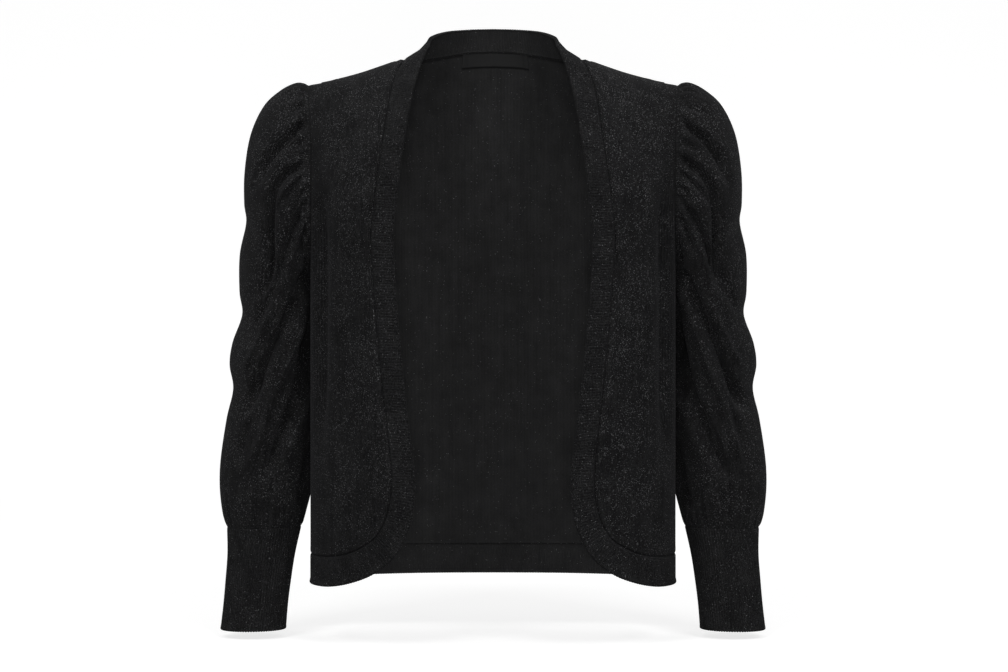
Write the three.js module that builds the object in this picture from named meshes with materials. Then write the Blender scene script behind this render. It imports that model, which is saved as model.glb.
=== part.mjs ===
// An open-front cropped cardigan in fine knit, in its worn shape with no wearer: puffed sleeves
// gathered at the armhole, long ribbed cuffs, and a ribbed band round the neck, fronts and hem.
//
// Millimetres. X runs to the wearer's left, Y to the wearer's back, Z up. The origin is midway
// between the two shoulders, at the height where the neck seam crosses the shoulder line.
import * as THREE from "three";

// ---- Driving sizes ----------------------------------------------------------------------------

const KNIT_WALL = 1.5; // plain knit of the body and sleeves
const RIB_WALL = 2.2; // doubled rib of the band and hem
const CUFF_WALL = 2.0;
const LABEL_WALL = 1.0;
const SEAM_GAP = 0.38; // between two pieces at a seam

const BODY_HALF = 182; // half the body's width below the armholes
const ROUNDNESS = 2.4; // exponent of the body's plan: 2 is an ellipse, more is squarer
const SHOULDER_DROP = 150; // depth below the shoulder line at which the body reaches its full depth
const HEM_SEAM_Z = -490.5;
const HEM_Z = -520.5;

// Depth of the body in front of and behind the side line, by height.
const TORSO = [
  { z: -520, front: 113, back: 97 },
  { z: -400, front: 116, back: 94 },
  { z: -300, front: 122, back: 95 },
  { z: -215, front: 126, back: 98 },
  { z: -119, front: 121, back: 97 },
  { z: -60, front: 112, back: 92 },
  { z: 0, front: 98, back: 84 },
  { z: 60, front: 88, back: 78 },
];

// Height of the shoulder line by distance from the middle. Inside the neck seam it is the rise of
// the neck that the band leans on.
const SHOULDER = [
  { x: 0, z: 100 },
  { x: 27, z: 86.5 },
  { x: 52, z: 57.6 },
  { x: 74, z: 24.7 },
  { x: 83, z: 9.5 },
  { x: 88, z: 1.7 },
  { x: 94, z: 0.2 },
  { x: 109, z: -5 },
  { x: 133, z: -13 },
  { x: 160, z: -20 },
  { x: 184, z: -24.5 },
  { x: 230, z: -30 },
];

const ARMHOLE = { tipX: 184, tipZ: -24.5, underX: 182, underZ: -215, front: 48, back: 56, slant: 4 };

// The ribbed band of a front, from the side seam along the hem, round the corner and up to the
// shoulder. lean is how far behind its seam the free edge lies.
const FRONT_BAND = [
  { seamX: 182, seamZ: -490.5, edgeX: 182, edgeZ: -520.5, lean: 0 },
  { seamX: 161, seamZ: -489.5, edgeX: 159, edgeZ: -519.3, lean: 0 },
  { seamX: 144, seamZ: -486.3, edgeX: 136.5, edgeZ: -514, lean: -1 },
  { seamX: 128.5, seamZ: -479.5, edgeX: 115, edgeZ: -504.5, lean: -2 },
  { seamX: 113.5, seamZ: -468.5, edgeX: 94.5, edgeZ: -487.5, lean: -3 },
  { seamX: 103.2, seamZ: -450.5, edgeX: 80, edgeZ: -460, lean: -3 },
  { seamX: 98, seamZ: -428, edgeX: 75.3, edgeZ: -431.5, lean: -3 },
  { seamX: 97.6, seamZ: -404, edgeX: 75, edgeZ: -404, lean: -3 },
  { seamX: 101, seamZ: -370, edgeX: 79.3, edgeZ: -371.5, lean: -3 },
  { seamX: 107.6, seamZ: -310, edgeX: 86, edgeZ: -311, lean: -3 },
  { seamX: 113.4, seamZ: -246, edgeX: 91.7, edgeZ: -247, lean: -3 },
  { seamX: 117.3, seamZ: -181, edgeX: 95.4, edgeZ: -182, lean: -3 },
  { seamX: 113.5, seamZ: -140, edgeX: 91.8, edgeZ: -140, lean: -4 },
  { seamX: 107, seamZ: -90, edgeX: 85.6, edgeZ: -88, lean: -5 },
  { seamX: 101.6, seamZ: -43.5, edgeX: 78.5, edgeZ: -40, lean: -6 },
  { seamX: 97, seamZ: -20, edgeX: 72.5, edgeZ: -13, lean: -5 },
  { seamX: 88, seamZ: 1.7, edgeX: 64.5, edgeZ: 16, lean: -4 },
];
const CORNER = 4; // row of FRONT_BAND at the rounded front corner

// The band round half the back neck, from the shoulder to the middle. It leans in over the neck.
const NECK_BAND = [
  { seamX: 88, seamZ: 1.7, edgeX: 64.5, edgeZ: 16, lean: -4 },
  { seamX: 80, seamZ: 4.2, edgeX: 62, edgeZ: 27, lean: -9 },
  { seamX: 56, seamZ: 10.2, edgeX: 48.5, edgeZ: 35, lean: -10.5 },
  { seamX: 28, seamZ: 16.2, edgeX: 25.2, edgeZ: 38.8, lean: -9 },
  { seamX: 0, seamZ: 18, edgeX: 0, edgeZ: 40, lean: -8.5 },
];

// Sleeve sections from the armhole to the cuff seam: the outer and inner ends of each section in
// the front view, its depth in front of and behind its middle, and where that middle lies in Y.
const SLEEVE = [
  { outerX: 184, outerZ: -24.5, innerX: 182, innerZ: -215, front: 48, back: 56, midY: 0 },
  { outerX: 196, outerZ: -22, innerX: 182.6, innerZ: -217, front: 55, back: 60, midY: 2 },
  { outerX: 212.3, outerZ: -29, innerX: 182.5, innerZ: -220, front: 58, back: 62, midY: 5 },
  { outerX: 229.5, outerZ: -44.5, innerX: 182.4, innerZ: -225, front: 60, back: 63, midY: 8 },
  { outerX: 243, outerZ: -72.5, innerX: 182.3, innerZ: -231, front: 62, back: 64, midY: 12 },
  { outerX: 249.4, outerZ: -108.5, innerX: 182.3, innerZ: -239, front: 63, back: 64, midY: 16 },
  { outerX: 250.3, outerZ: -140.5, innerX: 182.3, innerZ: -248, front: 63, back: 63, midY: 20 },
  { outerX: 248.5, outerZ: -160.5, innerX: 182.3, innerZ: -256, front: 62, back: 62, midY: 22 },
  { outerX: 255.4, outerZ: -192.5, innerX: 182.2, innerZ: -272, front: 61, back: 62, midY: 26 },
  { outerX: 256, outerZ: -229.5, innerX: 182, innerZ: -292, front: 60, back: 61, midY: 29 },
  { outerX: 253.5, outerZ: -253, innerX: 182, innerZ: -306, front: 58, back: 59, midY: 31 },
  { outerX: 263.3, outerZ: -281, innerX: 182, innerZ: -325, front: 58, back: 59, midY: 32 },
  { outerX: 266.5, outerZ: -303.5, innerX: 182, innerZ: -340, front: 57, back: 58, midY: 33 },
  { outerX: 263, outerZ: -328, innerX: 182, innerZ: -357, front: 55, back: 56, midY: 34 },
  { outerX: 269.6, outerZ: -358, innerX: 182, innerZ: -378, front: 54, back: 55, midY: 34 },
  { outerX: 275.6, outerZ: -398.5, innerX: 182.5, innerZ: -408, front: 51, back: 52, midY: 33 },
  { outerX: 276.4, outerZ: -427, innerX: 184, innerZ: -430, front: 47, back: 47, midY: 31 },
  { outerX: 273, outerZ: -453, innerX: 189.5, innerZ: -452, front: 40, back: 40, midY: 27 },
  { outerX: 268, outerZ: -468, innerX: 194, innerZ: -467, front: 35, back: 35, midY: 24 },
];

// Cuff sections from its seam to the wrist, in the same columns.
const CUFF = [
  { outerX: 268, outerZ: -468, innerX: 194, innerZ: -467, front: 35, back: 35, midY: 24 },
  { outerX: 267.5, outerZ: -494, innerX: 200, innerZ: -494, front: 33, back: 33, midY: 23 },
  { outerX: 269.3, outerZ: -520, innerX: 204, innerZ: -520, front: 32, back: 32, midY: 22 },
  { outerX: 271.3, outerZ: -544, innerX: 207, innerZ: -544, front: 31, back: 31, midY: 21 },
  { outerX: 274.2, outerZ: -570, innerX: 209, innerZ: -569.5, front: 31, back: 31, midY: 20 },
];

// The largest gathers of the puffed sleeve, as troughs seen from the front: each starts near the
// armhole seam, bends and falls towards the outside of the arm.
const GATHERS = [
  { startX: 182, startZ: -57, bendX: 224, bendZ: -75, endX: 240, endZ: -128, width: 9, depth: 6 },
  { startX: 184, startZ: -101, bendX: 222, bendZ: -122, endX: 229, endZ: -215, width: 9, depth: 4.5 },
  { startX: 184, startZ: -140, bendX: 212, bendZ: -185, endX: 240, endZ: -268, width: 9, depth: 4.5 },
  { startX: 184, startZ: -175, bendX: 196, bendZ: -250, endX: 258, endZ: -362, width: 11, depth: 7 },
  { startX: 186, startZ: -262, bendX: 198, bendZ: -345, endX: 246, endZ: -428, width: 13, depth: 7 },
];

// The label covers part of the back's grid, counted in its steps from the middle and from the
// neck seam: about 70 mm by 15 mm.
const LABEL = { stepsRight: 1, stepsLeft: 1.15, stepsDown: 2, clear: 0.65 };

// Grid steps of each piece. Two pieces that meet share their steps along the seam.
const STEPS = {
  frontAcross: 7,
  belowArm: 9,
  halfArmhole: 12,
  backHalfNeck: 5,
  backHalfShoulder: 5,
  sleeveAlong: 24,
  cuffAlong: 3,
  bandAcross: 2,
};
const NECK_CROWDING = 1.5; // power of the spacing of the back neck's steps
const GATHER_POINTS = 24; // on the line of one gather
const GATHER_START = 0.12; // share of a gather's half wave that is cut off by the armhole seam

// ---- Curves through the tables ----------------------------------------------------------------

const lerp = THREE.MathUtils.lerp;
const clamp = THREE.MathUtils.clamp;
const SIDE = Math.PI / 2; // angle round the plan, from the middle, of the side seam
const CLOSE = 1e-6; // angle within which a point lies on the side seam
const NEAR_RIDGE = 0.05; // drop within which a point lies on the shoulder line

// A smooth curve through the rows of a table: the value of column `out` where column `by` is x.
// Without `by` the rows count 0, 1, 2 and so on.
function smooth(rows, out, x, by) {
  const at = (i) => (by ? rows[i][by] : i);
  const last = rows.length - 1;
  const place = clamp(x, at(0), at(last));
  let i = 0;
  while (i < last - 1 && at(i + 1) < place) i += 1;
  const slope = (k) => {
    const before = Math.max(k - 1, 0);
    const after = Math.min(k + 1, last);
    return (rows[after][out] - rows[before][out]) / (at(after) - at(before));
  };
  const span = at(i + 1) - at(i);
  const t = (place - at(i)) / span;
  const t2 = t * t;
  const t3 = t2 * t;
  return (
    (2 * t3 - 3 * t2 + 1) * rows[i][out] +
    (t3 - 2 * t2 + t) * span * slope(i) +
    (3 * t2 - 2 * t3) * rows[i + 1][out] +
    (t3 - t2) * span * slope(i + 1)
  );
}

// One coordinate of the unit superellipse from the other.
function otherCoordinate(value) {
  return Math.pow(Math.max(1 - Math.pow(clamp(value, 0, 1), ROUNDNESS), 0), 1 / ROUNDNESS);
}

// Where a share of the half width lies round the plan, as an angle from the middle to SIDE.
function angleOf(share) {
  return Math.asin(Math.pow(clamp(share, 0, 1), ROUNDNESS / 2));
}

// ---- The worn form ----------------------------------------------------------------------------

// Share of the body's full depth at a drop below the shoulder line: a rounded shoulder.
function shoulderRound(drop) {
  const left = 1 - clamp(drop / SHOULDER_DROP, 0, 1);
  return Math.sqrt(1 - left * left);
}

function depthAt(face, x, z) {
  const drop = smooth(SHOULDER, "z", x, "x") - z;
  return smooth(TORSO, face, z, "z") * shoulderRound(drop);
}

// A point of the armhole seam, from the shoulder tip (0) by the front, the underarm and the back.
function armholePoint(angle) {
  const c = Math.cos(angle);
  const s = Math.sin(angle);
  const depth = s > 0 ? ARMHOLE.front : ARMHOLE.back;
  return new THREE.Vector3(
    lerp(ARMHOLE.underX, ARMHOLE.tipX, (c + 1) / 2) - ARMHOLE.slant * s * s,
    -depth * s,
    lerp(ARMHOLE.underZ, ARMHOLE.tipZ, (c + 1) / 2),
  );
}

// Half width of the form's plan at a height. Above the underarm it is what brings the form
// through the armhole seam.
function halfWidth(face, z) {
  if (z <= ARMHOLE.underZ) return BODY_HALF;
  const height = Math.min(z, ARMHOLE.tipZ - 1);
  const share = (height - ARMHOLE.underZ) / (ARMHOLE.tipZ - ARMHOLE.underZ);
  const p = armholePoint((face === "front" ? 1 : -1) * Math.acos(2 * share - 1));
  return p.x / otherCoordinate(Math.abs(p.y) / depthAt(face, p.x, height));
}

function angleAt(face, x, z) {
  return angleOf(x / halfWidth(face, z));
}

// A point of the form on the wearer's left half, from its angle round the plan and its height.
function formPoint(face, angle, z) {
  const x = halfWidth(face, z) * Math.pow(Math.sin(angle), 2 / ROUNDNESS);
  const depth = depthAt(face, x, z) * Math.pow(Math.max(Math.cos(angle), 0), 2 / ROUNDNESS);
  return new THREE.Vector3(x, face === "front" ? -depth : depth, z);
}

// The form's direction into the body at that point.
function formInward(face, angle, z) {
  const turn = 0.01;
  const rise = 0.5;
  const a = clamp(angle, turn, SIDE - turn);
  const here = formPoint(face, a, z - rise);
  const across = formPoint(face, a + turn, z - rise).sub(formPoint(face, a - turn, z - rise));
  const up = formPoint(face, a, z).sub(formPoint(face, a, z - 2 * rise));
  const normal = across.cross(up).normalize();
  const drop = smooth(SHOULDER, "z", here.x, "x") - z;
  if (angle <= 0) normal.x = 0;
  if (angle > SIDE - CLOSE || drop < NEAR_RIDGE) normal.y = 0;
  const middle = new THREE.Vector3(0, 0, z - SHOULDER_DROP);
  if (normal.dot(middle.sub(here)) < 0) normal.negate();
  return normal.normalize();
}

// ---- Seam lines of the band -------------------------------------------------------------------

const bandTable = { front: FRONT_BAND, back: NECK_BAND };

// Angle and height on the form of the band's seam: the front's, or the back neck's.
function seamPlace(face, row) {
  const z = smooth(bandTable[face], "seamZ", row);
  return { angle: angleAt(face, smooth(bandTable[face], "seamX", row), z), z };
}

function seamPoint(face, row) {
  const place = seamPlace(face, row);
  return formPoint(face, place.angle, place.z);
}

function edgePoint(face, row) {
  return new THREE.Vector3(
    smooth(bandTable[face], "edgeX", row),
    seamPoint(face, row).y + smooth(bandTable[face], "lean", row),
    smooth(bandTable[face], "edgeZ", row),
  );
}

// Direction into the cloth at the band's seam, shared by the panel beside it.
function seamInward(face, row) {
  const step = 0.05;
  const last = bandTable[face].length - 1;
  const along = seamPoint(face, Math.min(row + step, last));
  along.sub(seamPoint(face, Math.max(row - step, 0)));
  const across = edgePoint(face, row).sub(seamPoint(face, row));
  const inward = along.cross(across).normalize();
  const place = seamPlace(face, row);
  if (inward.dot(formInward(face, place.angle, place.z)) < 0) inward.negate();
  const atShoulder = row === (face === "front" ? last : 0);
  if (atShoulder || place.angle > SIDE - CLOSE) inward.y = 0;
  if (place.angle === 0) inward.x = 0;
  return inward.normalize();
}

// The row above the corner at which a front's band seam reaches that height.
function rowAtHeight(z) {
  let low = CORNER;
  let high = FRONT_BAND.length - 1;
  for (let i = 0; i < 40; i += 1) {
    const middle = (low + high) / 2;
    if (smooth(FRONT_BAND, "seamZ", middle) < z) low = middle;
    else high = middle;
  }
  return high;
}

// ---- Walls ------------------------------------------------------------------------------------

// Half the seam gap, from a point of a rim towards the next point inside it and square to the rim,
// which runs from `before` to `after`.
function drawnIn(point, next, before, after) {
  const rim = after.clone().sub(before).normalize();
  const move = next.clone().sub(point);
  return move.addScaledVector(rim, -move.dot(rim)).setLength(SEAM_GAP / 2);
}

// A closed wall from rows of outer points, each with its direction into the cloth. Open rims are
// drawn in, and a round grid joins its last column to its first.
function wall(rows, thickness, round) {
  const last = rows.length - 1;
  const count = rows[0].length;
  const at = (i, j) => {
    const column = round ? (j + count) % count : clamp(j, 0, count - 1);
    return rows[clamp(i, 0, last)][column].point;
  };
  const pulled = rows.map((row, i) =>
    row.map((cell, j) => {
      const p = cell.point.clone();
      if (i === 0) p.add(drawnIn(cell.point, at(1, j), at(i, j - 1), at(i, j + 1)));
      if (i === last) p.add(drawnIn(cell.point, at(last - 1, j), at(i, j - 1), at(i, j + 1)));
      if (!round && j === 0) p.add(drawnIn(cell.point, at(i, 1), at(i - 1, j), at(i + 1, j)));
      if (!round && j === count - 1) {
        p.add(drawnIn(cell.point, at(i, count - 2), at(i - 1, j), at(i + 1, j)));
      }
      return p;
    }),
  );
  const outer = pulled.flat();
  const inner = pulled.flatMap((row, i) =>
    row.map((p, j) => p.clone().addScaledVector(rows[i][j].inward, thickness)),
  );
  const id = (i, j) => i * count + (j % count);
  const under = outer.length;
  const faces = [];
  const quad = (a, b, c, d) => faces.push([a, b, c], [a, c, d]);
  const columns = round ? count : count - 1;
  for (let i = 0; i < last; i += 1) {
    for (let j = 0; j < columns; j += 1) {
      quad(id(i, j), id(i, j + 1), id(i + 1, j + 1), id(i + 1, j));
      quad(under + id(i, j), under + id(i + 1, j), under + id(i + 1, j + 1), under + id(i, j + 1));
    }
    if (!round) {
      quad(id(i, 0), id(i + 1, 0), under + id(i + 1, 0), under + id(i, 0));
      const j = count - 1;
      quad(id(i, j), under + id(i, j), under + id(i + 1, j), id(i + 1, j));
    }
  }
  for (let j = 0; j < columns; j += 1) {
    quad(id(0, j), under + id(0, j), under + id(0, j + 1), id(0, j + 1));
    quad(id(last, j), id(last, j + 1), under + id(last, j + 1), under + id(last, j));
  }
  return facingOut([...outer, ...inner], faces);
}

// Geometry from shared points and faces, turned round if its volume comes out negative.
function facingOut(points, faces) {
  const volume = faces.reduce(
    (sum, [a, b, c]) => sum + points[a].dot(points[b].clone().cross(points[c])),
    0,
  );
  const order = volume < 0 ? faces.map(([a, b, c]) => [a, c, b]) : faces;
  const geometry = new THREE.BufferGeometry();
  geometry.setFromPoints(points);
  geometry.setIndex(order.flat());
  geometry.computeVertexNormals();
  return geometry;
}

// The same grid on the wearer's right.
function mirrored(rows) {
  const flip = (v) => new THREE.Vector3(-v.x, v.y, v.z);
  return rows.map((row) =>
    row.map((cell) => ({ point: flip(cell.point), inward: flip(cell.inward) })),
  );
}

// ---- Body panels ------------------------------------------------------------------------------

// Steps up a panel: evenly below the underarm, then at the stations of the armhole seam.
const panelSteps = [];
for (let i = 0; i <= STEPS.belowArm; i += 1) {
  panelSteps.push({ arm: false, share: i / STEPS.belowArm });
}
for (let i = 1; i <= STEPS.halfArmhole; i += 1) {
  panelSteps.push({ arm: true, share: i / STEPS.halfArmhole });
}
const lastStep = panelSteps[panelSteps.length - 1];

// Height of a step between a bottom, the underarm and a top. The armhole's stations lie closer
// together at both of its ends.
function stepHeight(bottom, top, step) {
  if (!step.arm) return lerp(bottom, ARMHOLE.underZ, step.share);
  return lerp(ARMHOLE.underZ, top, (1 - Math.cos(Math.PI * step.share)) / 2);
}

function armholeAngle(face, step) {
  return (face === "front" ? 1 : -1) * Math.PI * (1 - step.share);
}

// Outer border of a panel: the side seam, then the armhole.
function outerPlace(face, step) {
  const z = stepHeight(HEM_SEAM_Z, ARMHOLE.tipZ, step);
  if (!step.arm) return { angle: SIDE, z };
  return { angle: angleAt(face, armholePoint(armholeAngle(face, step)).x, z), z };
}

// Blends four borders, given as angle and height on the form, into a patch.
function patchPlace(border, u, v) {
  const mix = (key) =>
    lerp(border.bottom[key], border.top[key], v) +
    lerp(border.inner[key], border.outer[key], u) -
    lerp(
      lerp(border.corners[0][key], border.corners[1][key], u),
      lerp(border.corners[2][key], border.corners[3][key], u),
      v,
    );
  return { angle: mix("angle"), z: mix("z") };
}

// A panel of one face on the wearer's left: innerAt, bottomAt and topAt give its other borders.
function panelGrid(face, across, innerAt, bottomAt, topAt) {
  const corners = [panelSteps[0], lastStep].flatMap((step) => [innerAt(step), outerPlace(face, step)]);
  return panelSteps.map((step, i) => {
    const v = i / (panelSteps.length - 1);
    return Array.from({ length: across + 1 }, (_, j) => {
      const border = {
        bottom: bottomAt(j),
        top: topAt(j),
        inner: innerAt(step),
        outer: outerPlace(face, step),
        corners,
      };
      if (j === across && step.arm) return armholeCell(armholeAngle(face, step));
      const place = patchPlace(border, j / across, v);
      return {
        point: formPoint(face, place.angle, place.z),
        inward: formInward(face, place.angle, place.z),
      };
    });
  });
}

function armholeCell(angle) {
  return { point: armholePoint(angle), inward: armholeInward(angle) };
}

// Shared direction of the armhole's seam: between the body's inside and the sleeve's.
function armholeInward(angle) {
  const p = armholePoint(angle);
  const face = p.y <= 0 ? "front" : "back";
  const middle = new THREE.Vector3(p.x, 0, (ARMHOLE.tipZ + ARMHOLE.underZ) / 2);
  const toMiddle = middle.sub(p).normalize();
  return toMiddle.add(formInward(face, angleAt(face, p.x, p.z), p.z)).normalize();
}

function shoulderPlace(face, share) {
  const x = lerp(NECK_BAND[0].seamX, ARMHOLE.tipX, share);
  const z = smooth(SHOULDER, "z", x, "x");
  return { angle: angleAt(face, x, z), z };
}

// Band rows at the stations of a front's edge: along the hem seam to the corner, then up.
const hemRows = Array.from(
  { length: STEPS.frontAcross + 1 },
  (_, j) => (CORNER * j) / STEPS.frontAcross,
);
const frontEdgeRow = (step) =>
  rowAtHeight(stepHeight(FRONT_BAND[CORNER].seamZ, NECK_BAND[0].seamZ, step));

const frontBandRows = [...hemRows, ...panelSteps.slice(1).map(frontEdgeRow)];

// Band rows at the stations of half the back neck. They lie closer together at the shoulder,
// where the neck turns up out of it.
const neckRows = Array.from(
  { length: STEPS.backHalfNeck + 1 },
  (_, j) => (NECK_BAND.length - 1) * (j / STEPS.backHalfNeck) ** NECK_CROWDING,
);

function frontGrid() {
  const across = STEPS.frontAcross;
  const grid = panelGrid(
    "front",
    across,
    (step) => seamPlace("front", frontEdgeRow(step)),
    (j) => seamPlace("front", hemRows[across - j]),
    (j) => shoulderPlace("front", j / across),
  );
  hemRows.forEach((row, j) => (grid[0][across - j].inward = seamInward("front", row)));
  grid.forEach((row, i) => (row[0].inward = seamInward("front", frontEdgeRow(panelSteps[i]))));
  return grid;
}

// The back's left half, its steps across first over the neck and then along the shoulder.
function halfBackGrid() {
  const neck = STEPS.backHalfNeck;
  const across = neck + STEPS.backHalfShoulder;
  const topZ = NECK_BAND[NECK_BAND.length - 1].seamZ;
  const grid = panelGrid(
    "back",
    across,
    (step) => ({ angle: 0, z: stepHeight(HEM_SEAM_Z, topZ, step) }),
    (j) => ({ angle: (j / across) * SIDE, z: HEM_SEAM_Z }),
    (j) =>
      j <= neck
        ? seamPlace("back", neckRows[neck - j])
        : shoulderPlace("back", (j - neck) / STEPS.backHalfShoulder),
  );
  const top = grid[grid.length - 1];
  neckRows.forEach((row, j) => (top[neck - j].inward = seamInward("back", row)));
  return grid;
}

function halfBackHemGrid() {
  const across = STEPS.backHalfNeck + STEPS.backHalfShoulder;
  return [HEM_SEAM_Z, HEM_Z].map((z) =>
    Array.from({ length: across + 1 }, (_, j) => {
      const angle = (j / across) * SIDE;
      return { point: formPoint("back", angle, z), inward: formInward("back", angle, z) };
    }),
  );
}

// Both halves of a piece that crosses the middle of the back, from its left half.
function wholeGrid(half) {
  const other = mirrored(half);
  return half.map((row, i) => [...other[i].slice(1).reverse(), ...row]);
}

// ---- Band -------------------------------------------------------------------------------------

// The band from its seam to its free edge, at the given rows of its table.
function bandGrid(face, rows) {
  return Array.from({ length: STEPS.bandAcross + 1 }, (_, j) =>
    rows.map((row) => ({
      point: seamPoint(face, row).lerp(edgePoint(face, row), j / STEPS.bandAcross),
      inward: seamInward(face, row),
    })),
  );
}

// ---- Sleeves and cuffs ------------------------------------------------------------------------

// A point of a sleeve section. The angle runs from the outer end by the front to the inner end.
function sectionPoint(table, row, angle) {
  const value = (key) => smooth(table, key, row);
  const c = Math.cos(angle);
  const s = Math.sin(angle);
  const slant = table === SLEEVE ? ARMHOLE.slant * Math.max(1 - row, 0) ** 2 : 0;
  return new THREE.Vector3(
    lerp(value("innerX"), value("outerX"), (c + 1) / 2) - slant * s * s,
    value("midY") - s * (s > 0 ? value("front") : value("back")),
    lerp(value("innerZ"), value("outerZ"), (c + 1) / 2),
  );
}

function sectionMiddle(table, row) {
  return sectionPoint(table, row, 0).lerp(sectionPoint(table, row, Math.PI), 0.5);
}

// How far the gathers draw the sleeve in at a place in the front view. Each one is deepest a
// little below its start and dies away at its end.
function gatherDepth(x, z) {
  const place = new THREE.Vector2(x, z);
  let depth = 0;
  for (const g of GATHERS) {
    const curve = new THREE.QuadraticBezierCurve(
      new THREE.Vector2(g.startX, g.startZ),
      new THREE.Vector2(g.bendX, g.bendZ),
      new THREE.Vector2(g.endX, g.endZ),
    );
    const gaps = curve.getPoints(GATHER_POINTS).map((p) => p.distanceTo(place));
    const nearest = gaps.indexOf(Math.min(...gaps));
    const fade = Math.sin(Math.PI * lerp(GATHER_START, 1, nearest / GATHER_POINTS));
    depth += g.depth * fade * Math.exp(-((gaps[nearest] / g.width) ** 2));
  }
  return depth;
}

// A tube through the sections of a table, `along` steps long, with each point of every section
// moved by `shape` before it is returned.
function tubeGrid(table, along, shape) {
  const round = 2 * STEPS.halfArmhole;
  return Array.from({ length: along + 1 }, (_, i) => {
    const row = ((table.length - 1) * i) / along;
    return Array.from({ length: round }, (_, j) => {
      const angle = (2 * Math.PI * j) / round;
      const cell = { point: sectionPoint(table, row, angle), inward: tubeInward(table, row, angle) };
      return shape(cell, i, angle);
    });
  });
}

// The level direction to a section's middle, which the sleeve and the cuff share at their seam.
function levelInward(table, row, angle) {
  const inward = sectionMiddle(table, row).sub(sectionPoint(table, row, angle));
  inward.z = 0;
  return inward.normalize();
}

function tubeInward(table, row, angle) {
  const step = 0.05;
  const turn = 0.02;
  const last = table.length - 1;
  const along = sectionPoint(table, Math.min(row + step, last), angle);
  along.sub(sectionPoint(table, Math.max(row - step, 0), angle));
  const about = sectionPoint(table, row, angle + turn).sub(sectionPoint(table, row, angle - turn));
  const normal = along.cross(about).normalize();
  const toMiddle = sectionMiddle(table, row).sub(sectionPoint(table, row, angle));
  return normal.dot(toMiddle) < 0 ? normal.negate() : normal;
}

function sleeveGrid() {
  const along = STEPS.sleeveAlong;
  return tubeGrid(SLEEVE, along, (cell, i, angle) => {
    if (i === 0) return armholeCell(angle);
    if (i === along) return { ...cell, inward: levelInward(SLEEVE, SLEEVE.length - 1, angle) };
    const { x, z } = cell.point;
    cell.point.addScaledVector(cell.inward, gatherDepth(x, z));
    return cell;
  });
}

function cuffGrid() {
  return tubeGrid(CUFF, STEPS.cuffAlong, (cell, i, angle) =>
    i === 0 ? { ...cell, inward: levelInward(CUFF, 0, angle) } : cell,
  );
}

// ---- Neck label -------------------------------------------------------------------------------

// The label hangs from the back neck seam on the inside of the back, from the back's own points.
function labelGrid() {
  const back = wholeGrid(halfBackGrid());
  const middle = (back[0].length - 1) / 2;
  const columns = [-LABEL.stepsRight, 0, 1, LABEL.stepsLeft].map((step) => middle + step);
  return back.slice(-1 - LABEL.stepsDown).map((row) =>
    columns.map((column) => {
      const before = row[Math.floor(column)];
      const after = row[Math.ceil(column)];
      const inward = before.inward.clone().lerp(after.inward, column % 1).normalize();
      const point = before.point.clone().lerp(after.point, column % 1);
      return { point: point.addScaledVector(inward, KNIT_WALL + LABEL.clear), inward };
    }),
  );
}

// ---- The garment ------------------------------------------------------------------------------

const knit = new THREE.MeshStandardMaterial({ color: 0x171718, roughness: 0.85, metalness: 0 });
const rib = new THREE.MeshStandardMaterial({ color: 0x19191a, roughness: 0.85, metalness: 0 });
const woven = new THREE.MeshStandardMaterial({ color: 0x121213, roughness: 0.6, metalness: 0 });

const garment = new THREE.Group();

function addPiece(name, rows, thickness, material, round = false) {
  const mesh = new THREE.Mesh(wall(rows, thickness, round), material);
  mesh.name = name;
  garment.add(mesh);
}

function addPair(name, rows, thickness, material, round = false) {
  addPiece(name + "_left", rows, thickness, material, round);
  addPiece(name + "_right", mirrored(rows), thickness, material, round);
}

addPiece("back", wholeGrid(halfBackGrid()), KNIT_WALL, knit);
addPair("front", frontGrid(), KNIT_WALL, knit);
addPair("sleeve", sleeveGrid(), KNIT_WALL, knit, true);
addPair("cuff", cuffGrid(), CUFF_WALL, rib, true);
addPair("front_band", bandGrid("front", frontBandRows), RIB_WALL, rib);
addPiece("neck_band", wholeGrid(bandGrid("back", [...neckRows].reverse())), RIB_WALL, rib);
addPiece("back_hem_band", wholeGrid(halfBackHemGrid()), RIB_WALL, rib);
addPiece("neck_label", labelGrid(), LABEL_WALL, woven);

export default garment;
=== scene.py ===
"""An open-front cropped cardigan in fine dark knit with a metallic fleck, worn by nobody.

The cloth keeps the shape it has on a wearer. Sizes in the tables are millimetres: X runs to the
wearer's left, Y to the wearer's back and Z up, from the point midway between the shoulders where
the neck seam crosses the shoulder line. Meshes are metres.
"""

from __future__ import annotations

import logging
import math
import sys
from collections.abc import Callable, Mapping, Sequence
from dataclasses import dataclass
from enum import Enum
from typing import NamedTuple

import bmesh
import bpy
import numpy as np
from mathutils import Matrix, Vector

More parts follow.
